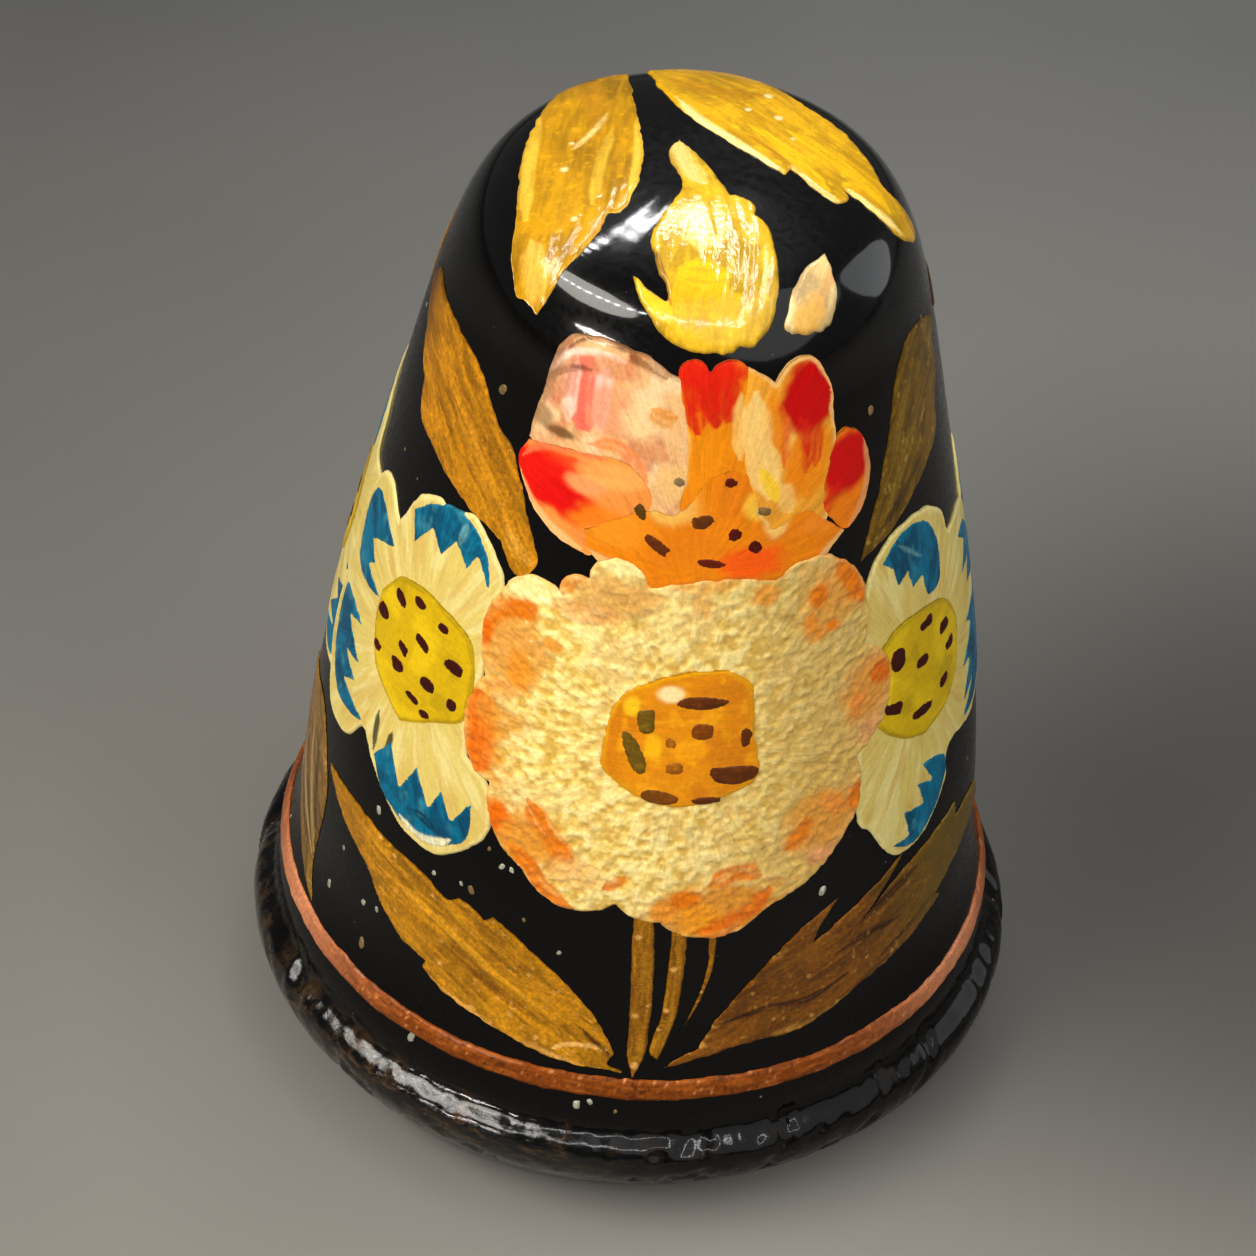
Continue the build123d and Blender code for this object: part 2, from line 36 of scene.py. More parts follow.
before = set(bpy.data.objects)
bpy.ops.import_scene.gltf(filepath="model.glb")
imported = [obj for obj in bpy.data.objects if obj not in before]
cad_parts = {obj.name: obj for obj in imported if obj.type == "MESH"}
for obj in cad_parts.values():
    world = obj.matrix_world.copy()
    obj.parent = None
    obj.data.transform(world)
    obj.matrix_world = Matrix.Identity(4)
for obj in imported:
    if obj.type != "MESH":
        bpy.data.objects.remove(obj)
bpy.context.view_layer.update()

WOOD_HEIGHT = 28.78
LACQUER = 0.12
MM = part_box("black_lacquer")[1].z / (WOOD_HEIGHT + LACQUER)  # metres per millimetre of the drawing
CAP_RADIUS = 1.2
CROWN_EDGE = (0.0255, 0.0272)  # metres up, between which the lacquer turns from satin to gloss
AXIS = 0.0005  # radius of a profile end that closes on the axis
GROOVE = (10.18, 3.85)
BEAD_FADE = (4.2, 3.5)  # heights between which the wall's finish turns into the foot bead's
BOUQUET_MIDDLE = 5  # degrees round from the front
LEFT_FLOWER_MIDDLE = -52
RIGHT_FLOWER_MIDDLE = 72
HALF_TURN = 180
FAR_TURN = -160.5  # the flower beyond the left one repeats the right one, this far round
NEAR_BACK_TURN = 170  # the flower beyond the right one repeats the left one, this far round
BAND = (4.75, 5.35)  # heights of the copper line's edges
SPECK_COUNT = 60
FLOOR_HALF = 0.6
HASH_FACTORS = (374761393, 668265263, 974634777, 1274126177)  # large odd numbers that scatter neighbours
HASH_RANGE = 0xFFFFFFFF
FINE = 0.056  # spacing of mesh points in the front motifs
BACK_FINE = 0.075


# --- small mathematics --------------------------------------------------------------------
def srgb(red, green, blue):
    """Linear colour of an 8-bit screen colour."""
    values = np.array([red, green, blue]) / 255
    return np.where(values <= 0.04045, values / 12.92, ((values + 0.055) / 1.055) ** 2.4)


def smooth(low, high, value):
    share = np.clip((value - low) / (high - low), 0, 1)
    return share * share * (3 - 2 * share)


def lattice(ix, iy, seed):
    """Repeatable random numbers from 0 to 1 at whole-number places."""
    ix, iy = np.asarray(ix).astype(np.int64), np.asarray(iy).astype(np.int64)
    bits = (ix * HASH_FACTORS[0] + iy * HASH_FACTORS[1] + seed * HASH_FACTORS[2]) & HASH_RANGE
    bits = ((bits ^ (bits >> 13)) * HASH_FACTORS[3]) & HASH_RANGE
    bits = (bits ^ (bits >> 16)) & HASH_RANGE
    return bits / float(HASH_RANGE)


def noise(x, y, seed=0):
    """Smooth value noise from 0 to 1."""
    x = np.asarray(x, float)
    y = np.asarray(y, float)
    ix, iy = np.floor(x), np.floor(y)
    fx, fy = x - ix, y - iy
    fx, fy = fx * fx * (3 - 2 * fx), fy * fy * (3 - 2 * fy)
    low = lattice(ix, iy, seed) * (1 - fx) + lattice(ix + 1, iy, seed) * fx
    high = lattice(ix, iy + 1, seed) * (1 - fx) + lattice(ix + 1, iy + 1, seed) * fx
    return low * (1 - fy) + high * fy


def layered(x, y, seed=0, octaves=3):
    """Value noise summed over octaves, still from 0 to 1."""
    total, weight, size = 0, 0, 1.0
    for octave in range(octaves):
        total = total + noise(x / size, y / size, seed + 17 * octave) * size
        weight += size
        size *= 0.5
    return total / weight


def cubic(points, start, end, count):
    """Samples of the smooth curve through points with unit end directions."""
    pts = np.array(points, float)
    gaps = np.hypot(*np.diff(pts, axis=0).T)
    total = len(pts)
    matrix = np.zeros((total, total))
    right = np.zeros((total, 2))
    matrix[0, 0] = matrix[-1, -1] = 1
    right[0], right[-1] = start, end
    for k in range(1, total - 1):
        before, after = gaps[k - 1], gaps[k]
        matrix[k, k - 1 : k + 2] = after, 2 * (before + after), before
        right[k] = 3 * (after * (pts[k] - pts[k - 1]) / before + before * (pts[k + 1] - pts[k]) / after)
    slopes = np.linalg.solve(matrix, right)
    knots = np.r_[0, np.cumsum(gaps)]
    places = np.linspace(0, knots[-1], count)
    index = np.clip(np.searchsorted(knots, places, side="right") - 1, 0, total - 2)
    gap = gaps[index][:, None]
    t = ((places - knots[index])[:, None]) / gap
    h00, h10 = 2 * t**3 - 3 * t**2 + 1, t**3 - 2 * t**2 + t
    h01, h11 = -2 * t**3 + 3 * t**2, t**3 - t**2
    return h00 * pts[index] + h10 * gap * slopes[index] + h01 * pts[index + 1] + h11 * gap * slopes[index + 1]


def outward(line):
    """Unit normals of a profile that runs upwards."""
    step = np.gradient(line, axis=0)
    step /= np.hypot(step[:, 0], step[:, 1])[:, None]
    return np.stack([step[:, 1], -step[:, 0]], -1)


# --- the turned profile -------------------------------------------------------------------
bead_line = cubic(
    [(8.9, 0), (9.5, 0.6), (10.25, 1.5), (10.86, 2.6), (10.72, 3.17), (10.38, 3.42), GROOVE],
    (0.743, 0.669),
    (0, 1),
    90,
)
wall_line = cubic(
    [
        GROOVE,
        (10.05, 4.74),
        (9.72, 5.77),
        (9.38, 8.19),
        (9.11, 10.98),
        (8.2, 16.38),
        (7.18, 21.17),
        (6.18, 25.57),
        (5.59, 27.25),
        (4.88, 28.15),
        (3.87, 28.51),
        (2.59, 28.7),
        (CAP_RADIUS, WOOD_HEIGHT),
    ],
    (0, 1),
    (-1, 0),
    700,
)
bead_skin = bead_line + outward(bead_line) * LACQUER
bead_skin[:, 1] = np.maximum(bead_skin[:, 1], 0)
wall_skin = wall_line + outward(wall_line) * LACQUER
cap = np.stack([np.linspace(CAP_RADIUS, AXIS, 12)[1:], np.full(11, WOOD_HEIGHT + LACQUER)], -1)
wall_skin = np.vstack([wall_skin, cap])
WALL_R, WALL_Z = wall_skin[:, 0], np.maximum.accumulate(wall_skin[:, 1] + np.arange(len(wall_skin)) * 1e-9)
WALL_S = np.r_[0, np.cumsum(np.hypot(*np.diff(wall_skin, axis=0).T))]
wall_normals = outward(wall_skin)
WALL_NR, WALL_NZ = wall_normals[:, 0], wall_normals[:, 1]


class Wrap:
    """Lays flat drawing places (u, v), in millimetres, on the lacquer."""

    def __init__(self, middle=None):
        self.middle = middle  # degrees round from the front; None is the crown, seen from above

    def flat(self, points):
        """(degrees, height) on the wall, or (x, y) on the crown, to (u, v)."""
        pts = np.array(points, float)
        if self.middle is None:
            return pts
        v = np.interp(pts[:, 1], WALL_Z, WALL_S)
        u = np.radians(pts[:, 0] - self.middle) * np.interp(v, WALL_S, WALL_R)
        return np.stack([u, v], -1)

    def solid(self, u, v, lift):
        """(u, v) and a height above the lacquer to places in space."""
        if self.middle is None:
            far = np.hypot(u, v)
            s = np.interp(far, WALL_R[::-1], WALL_S[::-1])
            bearing = np.arctan2(u, -v)
        else:
            s = v
            bearing = np.radians(self.middle) + u / np.interp(s, WALL_S, WALL_R)
        r = np.interp(s, WALL_S, WALL_R) + np.interp(s, WALL_S, WALL_NR) * lift
        z = np.interp(s, WALL_S, WALL_Z) + np.interp(s, WALL_S, WALL_NZ) * lift
        return np.stack([r * np.sin(bearing), -r * np.cos(bearing), z], -1) * MM


# --- outlines and strokes -----------------------------------------------------------------
def through(points, step):
    """Dense points of one run: a line, an arc, or a smooth curve."""
    pts = np.array(points, float)
    if len(pts) == 2:
        count = max(2, int(np.hypot(*(pts[1] - pts[0])) / step) + 1)
        return pts[0] + (pts[1] - pts[0]) * np.linspace(0, 1, count)[:, None]
    if len(pts) == 3:
        (ax, ay), (bx, by), (cx, cy) = pts
        twist = 2 * (ax * (by - cy) + bx * (cy - ay) + cx * (ay - by))
        if abs(twist) > 1e-9:
            a2, b2, c2 = (pts**2).sum(1)
            middle = np.array([a2 * (by - cy) + b2 * (cy - ay) + c2 * (ay - by)])
            middle = np.r_[middle, a2 * (cx - bx) + b2 * (ax - cx) + c2 * (bx - ax)] / twist
            start, via, stop = (math.atan2(*(p - middle)[::-1]) for p in pts)
            sweep = (stop - start) % (2 * math.pi)
            if (via - start) % (2 * math.pi) > sweep:
                sweep -= 2 * math.pi
            far = np.hypot(*(pts[0] - middle))
            count = max(4, int(abs(sweep) * far / step) + 1)
            turn = start + sweep * np.linspace(0, 1, count)
            return middle + far * np.stack([np.cos(turn), np.sin(turn)], -1)
    padded = np.vstack([2 * pts[0] - pts[1], pts, 2 * pts[-1] - pts[-2]])
    rows = []
    for k in range(1, len(padded) - 2):
        a, b, c, d = padded[k - 1 : k + 3]
        count = max(2, int(np.hypot(*(c - b)) / step) + 1)
        t = np.linspace(0, 1, count, endpoint=False)[:, None]
        rows.append(
            0.5 * (2 * b + (c - a) * t + (2 * a - 5 * b + 4 * c - d) * t**2 + (3 * b - a - 3 * c + d) * t**3)
        )
    return np.vstack([*rows, pts[-1:]])


def ring(wrap, runs, step, wobble=0.0, seed=0, grain=0.35):
    """Closed outline from runs with corners between them, wobbled along its normal."""
    pieces = []
    for index, run in enumerate(runs):
        end = runs[(index + 1) % len(runs)][0]
        pieces.append(through(wrap.flat(run + [end]), step / 2)[:-1])
    line = np.vstack(pieces)
    closed = np.vstack([line, line[:1]])
    length = np.r_[0, np.cumsum(np.hypot(*np.diff(closed, axis=0).T))]
    count = max(8, int(length[-1] / step))
    places = np.linspace(0, length[-1], count, endpoint=False)
    line = np.stack([np.interp(places, length, closed[:, k]) for k in (0, 1)], -1)
    if wobble:
        turn = (np.roll(line, -1, 0) - np.roll(line, 1, 0)) / 2
        turn /= np.maximum(np.hypot(turn[:, 0], turn[:, 1]), 1e-9)[:, None]
        push = (layered(line[:, 0] / grain, line[:, 1] / grain, seed, 3) - 0.5) * 2 * wobble
        line = line + np.stack([turn[:, 1], -turn[:, 0]], -1) * push[:, None]
    return line


def inside(line, u, v):
    """True where (u, v) is within the closed outline."""
    hit = np.zeros(len(u), bool)
    for (ax, ay), (bx, by) in zip(line, np.roll(line, -1, 0)):
        if ay != by:
            crosses = (ay > v) != (by > v)
            hit ^= crosses & (u < (bx - ax) * (v - ay) / (by - ay) + ax)
    return hit


def edge_distance(line, u, v):
    """Distance to the closed outline."""
    best = np.full(len(u), 1e9)
    for (ax, ay), (bx, by) in zip(line, np.roll(line, -1, 0)):
        dx, dy = bx - ax, by - ay
        t = np.clip(((u - ax) * dx + (v - ay) * dy) / max(dx * dx + dy * dy, 1e-12), 0, 1)
        best = np.minimum(best, (u - ax - t * dx) ** 2 + (v - ay - t * dy) ** 2)
    return np.sqrt(best)


def along(path, u, v):
    """Share of the way along an open path, signed distance across it, and its length."""
    best = np.full(len(u), 1e9)
    share = np.zeros(len(u))
    side = np.zeros(len(u))
    lengths = np.r_[0, np.cumsum(np.hypot(*np.diff(path, axis=0).T))]
    for k in range(len(path) - 1):
        (ax, ay), (bx, by) = path[k], path[k + 1]
        dx, dy = bx - ax, by - ay
        gap = math.hypot(dx, dy)
        t = np.clip(((u - ax) * dx + (v - ay) * dy) / (gap * gap), 0, 1)
        d = np.hypot(u - ax - t * dx, v - ay - t * dy)
        near = d < best
        best[near] = d[near]
        share[near] = (lengths[k] + t[near] * gap) / lengths[-1]
        side[near] = np.sign(((u - ax) * dy - (v - ay) * dx)[near]) * d[near]
    return share, side, lengths[-1]


def mixed(base, colour, mask):
    return base + (np.asarray(colour) - base) * np.asarray(mask)[:, None]


def plain(colour, count):
    return np.repeat(np.asarray(colour, float)[None], count, 0)


# --- materials ----------------------------------------------------------------------------
def shader(name, roughness, coat=1.0, coat_roughness=0.06, metallic=0.0, specular=0.5):
    """A new material, its node tree and its Principled shader."""
    material = bpy.data.materials.new(name)
    material.use_nodes = True
    tree = material.node_tree
    bsdf = tree.nodes["Principled BSDF"]
    bsdf.inputs["Roughness"].default_value = roughness
    bsdf.inputs["Metallic"].default_value = metallic
    bsdf.inputs["Specular IOR Level"].default_value = specular
    bsdf.inputs["Coat Weight"].default_value = coat
    bsdf.inputs["Coat Roughness"].default_value = coat_roughness
    return material, tree, bsdf


def add(tree, kind, **values):
    """A node with its inputs set by name."""
    node = tree.nodes.new(kind)
    for key, value in values.items():
        if key in node.inputs:
            node.inputs[key].default_value = value
        else:
            setattr(node, key, value)
    return node


def wire(tree, source, target):
    tree.links.new(source, target)


def noise_at(tree, vector, scale, detail=4.0, roughness=0.55):
    node = add(tree, "ShaderNodeTexNoise", Scale=scale, Detail=detail, Roughness=roughness)
    wire(tree, vector, node.inputs["Vector"])
    return node.outputs["Fac"]


def ramp(tree, value, low, high, low_to=0.0, high_to=1.0):
    node = add(tree, "ShaderNodeMapRange")
    for key, number in (("From Min", low), ("From Max", high), ("To Min", low_to), ("To Max", high_to)):
        node.inputs[key].default_value = number
    wire(tree, value, node.inputs["Value"])
    return node.outputs["Result"]


def maths(tree, operation, first, second):
    node = add(tree, "ShaderNodeMath", operation=operation)
    wire(tree, first, node.inputs[0])
    wire(tree, second, node.inputs[1])
    return node.outputs["Value"]


def blend(tree, factor, low, high):
    """Mixes a colour or socket towards a second colour."""
    node = add(tree, "ShaderNodeMix", data_type="RGBA")
    if isinstance(low, tuple):
        node.inputs["A"].default_value = low
    else:
        wire(tree, low, node.inputs["A"])
    node.inputs["B"].default_value = high
    wire(tree, factor, node.inputs["Factor"])
    return node.outputs["Result"]


def bump_into(tree, height, strength, distance, normal):
    """Bump from a height, distance in millimetres, into a normal socket."""
    node = add(tree, "ShaderNodeBump", Strength=strength, Distance=distance * MM)
    wire(tree, height, node.inputs["Height"])
    wire(tree, node.outputs["Normal"], normal)


def paint_material(name, roughness, streak, grain, bump, metallic, coat, pebble=0.0):
    """Brushed pigment under varnish: the vertex colour, broken by bristle streaks and grain."""
    material, tree, bsdf = shader(name, roughness, coat, 0.06, metallic, 0.1)
    pigment = add(tree, "ShaderNodeAttribute", attribute_name="pigment")
    brush = add(tree, "ShaderNodeAttribute", attribute_name="brush")
    place = add(tree, "ShaderNodeTexCoord")
    stretch = add(tree, "ShaderNodeMapping", Scale=(1.1, 13.0, 1.0))
    wire(tree, brush.outputs["Vector"], stretch.inputs["Vector"])
    bristles = noise_at(tree, stretch.outputs["Vector"], 1.0, 4.0, 0.6)
    speckle = noise_at(tree, place.outputs["Object"], 9.0 / MM, 4.0, 0.6)
    streaks = ramp(tree, bristles, 0.3, 0.7, 1 - streak, 1 + streak)
    tone = maths(tree, "ADD", streaks, ramp(tree, speckle, 0.3, 0.7, -grain, grain))
    shade = add(tree, "ShaderNodeVectorMath", operation="SCALE")
    wire(tree, pigment.outputs["Color"], shade.inputs[0])
    wire(tree, tone, shade.inputs["Scale"])
    wire(tree, shade.outputs["Vector"], bsdf.inputs["Base Color"])
    wire(tree, ramp(tree, speckle, 0.25, 0.75, roughness - 0.12, roughness + 0.14), bsdf.inputs["Roughness"])
    bump_into(tree, maths(tree, "ADD", bristles, speckle), bump, 0.03, bsdf.inputs["Normal"])
    if pebble:
        pebbles = noise_at(tree, place.outputs["Object"], 4.0 / MM, 3.0, 0.6)
        bump_into(tree, pebbles, pebble, 0.06, bsdf.inputs["Coat Normal"])
    return material


def lacquer_material():
    """Black lacquer: faint orange peel, dust, fine scratches, and brown on the foot bead that is partly wear
    and partly painted warm sheen round its highlight.
    """
    material, tree, bsdf = shader("black_lacquer_gloss", 0.3, 0.42, 0.04, 0.0, 0.08)
    place = add(tree, "ShaderNodeTexCoord")
    wear = add(tree, "ShaderNodeAttribute", attribute_name="wear")
    turning = add(tree, "ShaderNodeAttribute", attribute_name="brush")
    rubbed = noise_at(tree, turning.outputs["Vector"], 1.0, 6.0, 0.7)
    fine = noise_at(tree, place.outputs["Object"], 6.0 / MM, 5.0, 0.65)
    broad = noise_at(tree, place.outputs["Object"], 0.8 / MM, 4.0, 0.6)
    dust = add(tree, "ShaderNodeTexVoronoi", Scale=2.2 / MM, feature="F1")
    wire(tree, place.outputs["Object"], dust.inputs["Vector"])
    dusty = ramp(tree, dust.outputs["Distance"], 0.05, 0.09, 1.0, 0.0)
    fleck = maths(tree, "MULTIPLY", dusty, ramp(tree, broad, 0.56, 0.62))
    # The brown mixed in here is partly wear and partly painted warm sheen round the bead's highlight.
    wear_and_sheen = maths(tree, "MULTIPLY", ramp(tree, rubbed, 0.5, 0.66), wear.outputs["Fac"])
    black = blend(tree, wear_and_sheen, (0.0012, 0.001, 0.0008, 1), (0.062, 0.032, 0.011, 1))
    wire(tree, blend(tree, fleck, black, (0.16, 0.15, 0.12, 1)), bsdf.inputs["Base Color"])
    wire(tree, ramp(tree, fine, 0.3, 0.75, 0.1, 0.42), bsdf.inputs["Roughness"])
    wire(tree, ramp(tree, broad, 0.3, 0.7, 0.02, 0.08), bsdf.inputs["Coat Roughness"])
    apart = add(tree, "ShaderNodeSeparateXYZ")
    wire(tree, place.outputs["Object"], apart.inputs["Vector"])
    polish = ramp(tree, apart.outputs["Z"], CROWN_EDGE[0], CROWN_EDGE[1], 0.2, 1.0)
    foot_gloss = ramp(tree, wear.outputs["Fac"], 0.0, 0.5, 0.0, 0.7)
    wire(tree, maths(tree, "ADD", polish, foot_gloss), bsdf.inputs["Coat Weight"])
    rough_foot = maths(tree, "MULTIPLY", rubbed, ramp(tree, wear.outputs["Fac"], 0.0, 1.0, 0.06, 1.0))
    bump_into(tree, rough_foot, 0.28, 0.12, bsdf.inputs["Normal"])
    bump_into(tree, rough_foot, 0.24, 0.1, bsdf.inputs["Coat Normal"])
    return material


def wood_material():
    """Bare limewood in the bore: pale grain rings and fine pores."""
    material, tree, bsdf = shader("bare_limewood", 0.65, 0.0)
    place = add(tree, "ShaderNodeTexCoord")
    stretch = add(tree, "ShaderNodeMapping", Scale=(1.0, 1.0, 0.12))
    wire(tree, place.outputs["Object"], stretch.inputs["Vector"])
    grain = noise_at(tree, stretch.outputs["Vector"], 2.5 / MM, 5.0, 0.6)
    pores = noise_at(tree, stretch.outputs["Vector"], 12.0 / MM, 3.0, 0.6)
    both = maths(tree, "ADD", ramp(tree, grain, 0.3, 0.7), ramp(tree, pores, 0.5, 0.75, 0.0, 0.4))
    tone = blend(tree, both, (0.55, 0.36, 0.18, 1), (0.36, 0.2, 0.085, 1))
    wire(tree, tone, bsdf.inputs["Base Color"])
    bump_into(tree, both, 0.4, 0.06, bsdf.inputs["Normal"])
    return material


def floor_material():
    """Plain pale card, faintly mottled, with painted light falloff that darkens it behind and at the left,
    and a painted shadow beside the thimble's right.
    """
    material, tree, bsdf = shader("pale_floor_with_painted_shade", 0.85, 0.0, 0.06, 0.0, 0.15)
    place = add(tree, "ShaderNodeTexCoord")
    mottle = noise_at(tree, place.outputs["Object"], 40.0, 3.0, 0.5)
    apart = add(tree, "ShaderNodeSeparateXYZ")
    wire(tree, place.outputs["Object"], apart.inputs["Vector"])
    # Painted light falloff: the card darkens towards the back and towards the left.
    painted_falloff_behind = ramp(tree, apart.outputs["Y"], -0.015, 0.05)
    depth = maths(tree, "ADD", painted_falloff_behind, ramp(tree, mottle, 0.3, 0.7, -0.06, 0.06))
    tone = blend(tree, depth, (0.25, 0.236, 0.21, 1), (0.108, 0.108, 0.104, 1))
    # Painted shadow: a soft dark patch on the card beside the thimble's right.
    away = add(tree, "ShaderNodeVectorMath", operation="DISTANCE")
    away.inputs[1].default_value = (0.024, 0.006, 0)
    wire(tree, place.outputs["Object"], away.inputs[0])
    painted_shadow = add(tree, "ShaderNodeMapRange", interpolation_type="SMOOTHSTEP")
    for key, number in (("From Min", 0.006), ("From Max", 0.028), ("To Min", 0.4), ("To Max", 1.0)):
        painted_shadow.inputs[key].default_value = number
    wire(tree, away.outputs["Value"], painted_shadow.inputs["Value"])
    painted_falloff_left = ramp(tree, apart.outputs["X"], -0.024, 0.004, 0.64, 1.0)
    shade = add(tree, "ShaderNodeVectorMath", operation="SCALE")
    wire(tree, tone, shade.inputs[0])
    wire(tree, maths(tree, "MULTIPLY", painted_falloff_left, painted_shadow.outputs["Result"]), shade.inputs["Scale"])
    wire(tree, shade.outputs["Vector"], bsdf.inputs["Base Color"])
    return material


# --- mesh makers --------------------------------------------------------------------------
def mesh_piece(name, places, faces, material, replaces=(), pigment=None, brush=None, wear=None):
    """A smooth-shaded piece of the thimble, riding on its one body."""
    mesh = bpy.data.meshes.new(name)
    mesh.from_pydata([tuple(p) for p in places], [], faces)
    if pigment is not None:
        layer = mesh.color_attributes.new("pigment", "FLOAT_COLOR", "POINT")
        rgba = np.ones((len(places), 4))
        rgba[:, :3] = np.clip(pigment, 0, 1)
        layer.data.foreach_set("color", rgba.ravel())
    if brush is not None:
        layer = mesh.attributes.new("brush", "FLOAT_VECTOR", "POINT")
        vector = np.zeros((len(places), 3))
        vector[:, : brush.shape[1]] = brush
        layer.data.foreach_set("vector", vector.ravel())
    if wear is not None:
        layer = mesh.attributes.new("wear", "FLOAT", "POINT")
        layer.data.foreach_set("value", np.asarray(wear, float))
    mesh.polygons.foreach_set("use_smooth", [True] * len(mesh.polygons))
    mesh.validate()
    piece = bpy.data.objects.new(name, mesh)
    bpy.context.scene.collection.objects.link(piece)
    mesh.materials.append(material)
    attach(piece, "root")
    if replaces:
        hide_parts(*replaces)
    return piece


class Brushwork:
    """Paint patches gathered into one piece."""

    def __init__(self):
        self.places, self.faces, self.pigment, self.brush = [], [], [], []
        self.count = 0

    def patch(self, wrap, line, step, colour, lift, flow=None, edge=0.07, seed=0, sill=0.15):
        """A closed solid of paint within the outline, coloured and raised by functions of (u, v, depth)."""
        low, high = line.min(0), line.max(0)
        cols = np.arange(low[0], high[0], step)
        rows = np.arange(low[1], high[1], step * 0.866)
        u, v = np.meshgrid(cols, rows)
        u[1::2] += step / 2
        u, v = u.ravel(), v.ravel()
        u = u + (lattice(np.arange(len(u)), np.zeros(len(u)), seed) - 0.5) * step * 0.3
        v = v + (lattice(np.arange(len(v)), np.ones(len(v)), seed) - 0.5) * step * 0.3
        keep = inside(line, u, v)
        u, v = u[keep], v[keep]
        keep = edge_distance(line, u, v) > step * 0.55
        u, v = u[keep], v[keep]
        rim = len(line)
        flat = [Vector(p) for p in line] + [Vector(p) for p in zip(u, v)]
        edges = [(k, (k + 1) % rim) for k in range(rim)]
        verts, _, faces, _, _, _ = delaunay_2d_cdt(flat, edges, [], 1, 1e-7)
        top = np.array([tuple(p) for p in verts])
        depth = edge_distance(line, top[:, 0], top[:, 1])
        shoulder = np.sqrt(np.clip(1 - (1 - np.clip(depth / edge, 0, 1)) ** 2, 0, 1))
        height = lift(top[:, 0], top[:, 1], depth) * (sill + (1 - sill) * shoulder)
        places = wrap.solid(top[:, 0], top[:, 1], height)
        tint = colour(top[:, 0], top[:, 1], depth)
        run = flow(top[:, 0], top[:, 1]) if flow else top
        self._take(places, [tuple(f) for f in faces], tint, run)
        under, _, floor, _, _, _ = delaunay_2d_cdt([Vector(p) for p in line], edges, [], 1, 1e-7)
        base = np.array([tuple(p) for p in under])
        sunk = wrap.solid(base[:, 0], base[:, 1], np.full(len(base), -0.02))
        start = self.count - len(places)
        self._take(sunk, [tuple(reversed(f)) for f in floor], plain(tint[:rim].mean(0), len(base)), base)
        low_start = self.count - len(base)
        if len(base) == rim:
            turns = range(rim)
            self.faces += [
                (start + (k + 1) % rim, start + k, low_start + k, low_start + (k + 1) % rim) for k in turns
            ]

    def _take(self, places, faces, tint, run):
        self.places.append(places)
        self.faces += [tuple(i + self.count for i in face) for face in faces]
        self.pigment.append(tint)
        self.brush.append(run)
        self.count += len(places)

    def finish(self, name, material, slot, replaces=()):
        return mesh_piece(
            name,
            np.vstack(self.places),
            self.faces,
            material,
            replaces,
            np.vstack(self.pigment),
            np.vstack(self.brush),
        )


def turned_piece(name, line, material, replaces=(), turns=360, wear=None, ripple=None, closed=False):
    """A surface of revolution through the profile line, with its ends joined if closed."""
    angles = np.linspace(0, 2 * math.pi, turns, endpoint=False)
    r = np.repeat(line[:, 0][:, None], turns, 1)
    z = np.repeat(line[:, 1][:, None], turns, 1)
    a = np.repeat(angles[None], len(line), 0)
    if ripple is not None:
        normals = outward(line)
        push = ripple(a, r, z)
        r = r + normals[:, 0][:, None] * push
        z = z + normals[:, 1][:, None] * push
    places = np.stack([r * np.sin(a), -r * np.cos(a), z], -1).reshape(-1, 3) * MM
    faces = []
    last = len(line) if closed else len(line) - 1
    for row in range(last):
        here, there = row * turns, ((row + 1) % len(line)) * turns
        for k in range(turns):
            after = (k + 1) % turns
            faces.append((here + k, here + after, there + after, there + k))
    wear_and_sheen = wear(a, r, z).ravel() if wear is not None else None
    round_about = np.stack([np.sin(a) * 12, np.cos(a) * 12, (z + r) * 7], -1).reshape(-1, 3)
    return mesh_piece(name, places, faces, material, replaces, wear=wear_and_sheen, brush=round_about)


# --- motif outlines on the wall, (degrees, height); runs are smooth, corners lie between them ---
daisy = [
    [(-1.5, 21.0), (-6.5, 21.7)],
    [(-13.5, 20.9), (-17, 20.9)],
    [(-19, 20.3), (-25, 20.5)],
    [(-30.5, 19.9), (-33.8, 18.6)],
    [(-31, 17.1), (-34, 15.8)],
    [(-29.5, 14.2), (-28, 14.1)],
    [(-26.5, 14.1), (-25.4, 12.9)],
    [(-18.5, 11.8), (-10.5, 10.9)],
    [(-2, 11.3), (2, 10.85)],
    [(5.5, 10.8), (14, 10.2)],
    [(23.5, 11.0), (33, 11.8)],
    [(39.2, 12.9), (42, 14)],
    [(40.8, 15.0), (50, 16.5)],
    [(44, 18.3), (44.8, 20.0)],
    [(38, 21.2), (31, 21.5)],
    [(24, 21.1), (12, 21.3)],
]
daisy_eye = [
    [(3, 18.5), (9, 18.65), (15, 18.65), (19.6, 18.0), (20, 16.8), (21, 15.4), (15, 14.85), (6, 14.6)],
    [(-1, 14.9), (-6.6, 15.6), (-7, 16.4), (-5, 17.8)],
]
daisy_seeds = [
    (10.2, 17.75, 4.4, 0.2, -4),
    (0.4, 17.2, 1.6, 0.34, 0),
    (-1.4, 16.2, 1.5, 0.6, 22),
    (4.9, 16.55, 1.0, 0.17, 0),
    (10.4, 16.9, 2.0, 0.22, 0),
    (18.4, 16.65, 1.1, 0.25, 0),
    (6.0, 15.8, 1.5, 0.2, 0),
    (16.6, 15.55, 3.6, 0.26, -8),
    (3.6, 14.92, 2.9, 0.2, -8),
    (11.9, 14.82, 2.3, 0.12, 4),
]
tulip_bowl = [
    [(-16, 22.3), (-5, 23.1), (3, 23.2), (10, 24.2), (17, 24.2), (22, 22.6), (30, 22.9), (34, 22.6)],
    [(40, 21.9), (33, 21.2), (24, 20.75), (12, 20.8), (4, 20.8), (-4, 21.1), (-14, 21.6)],
]
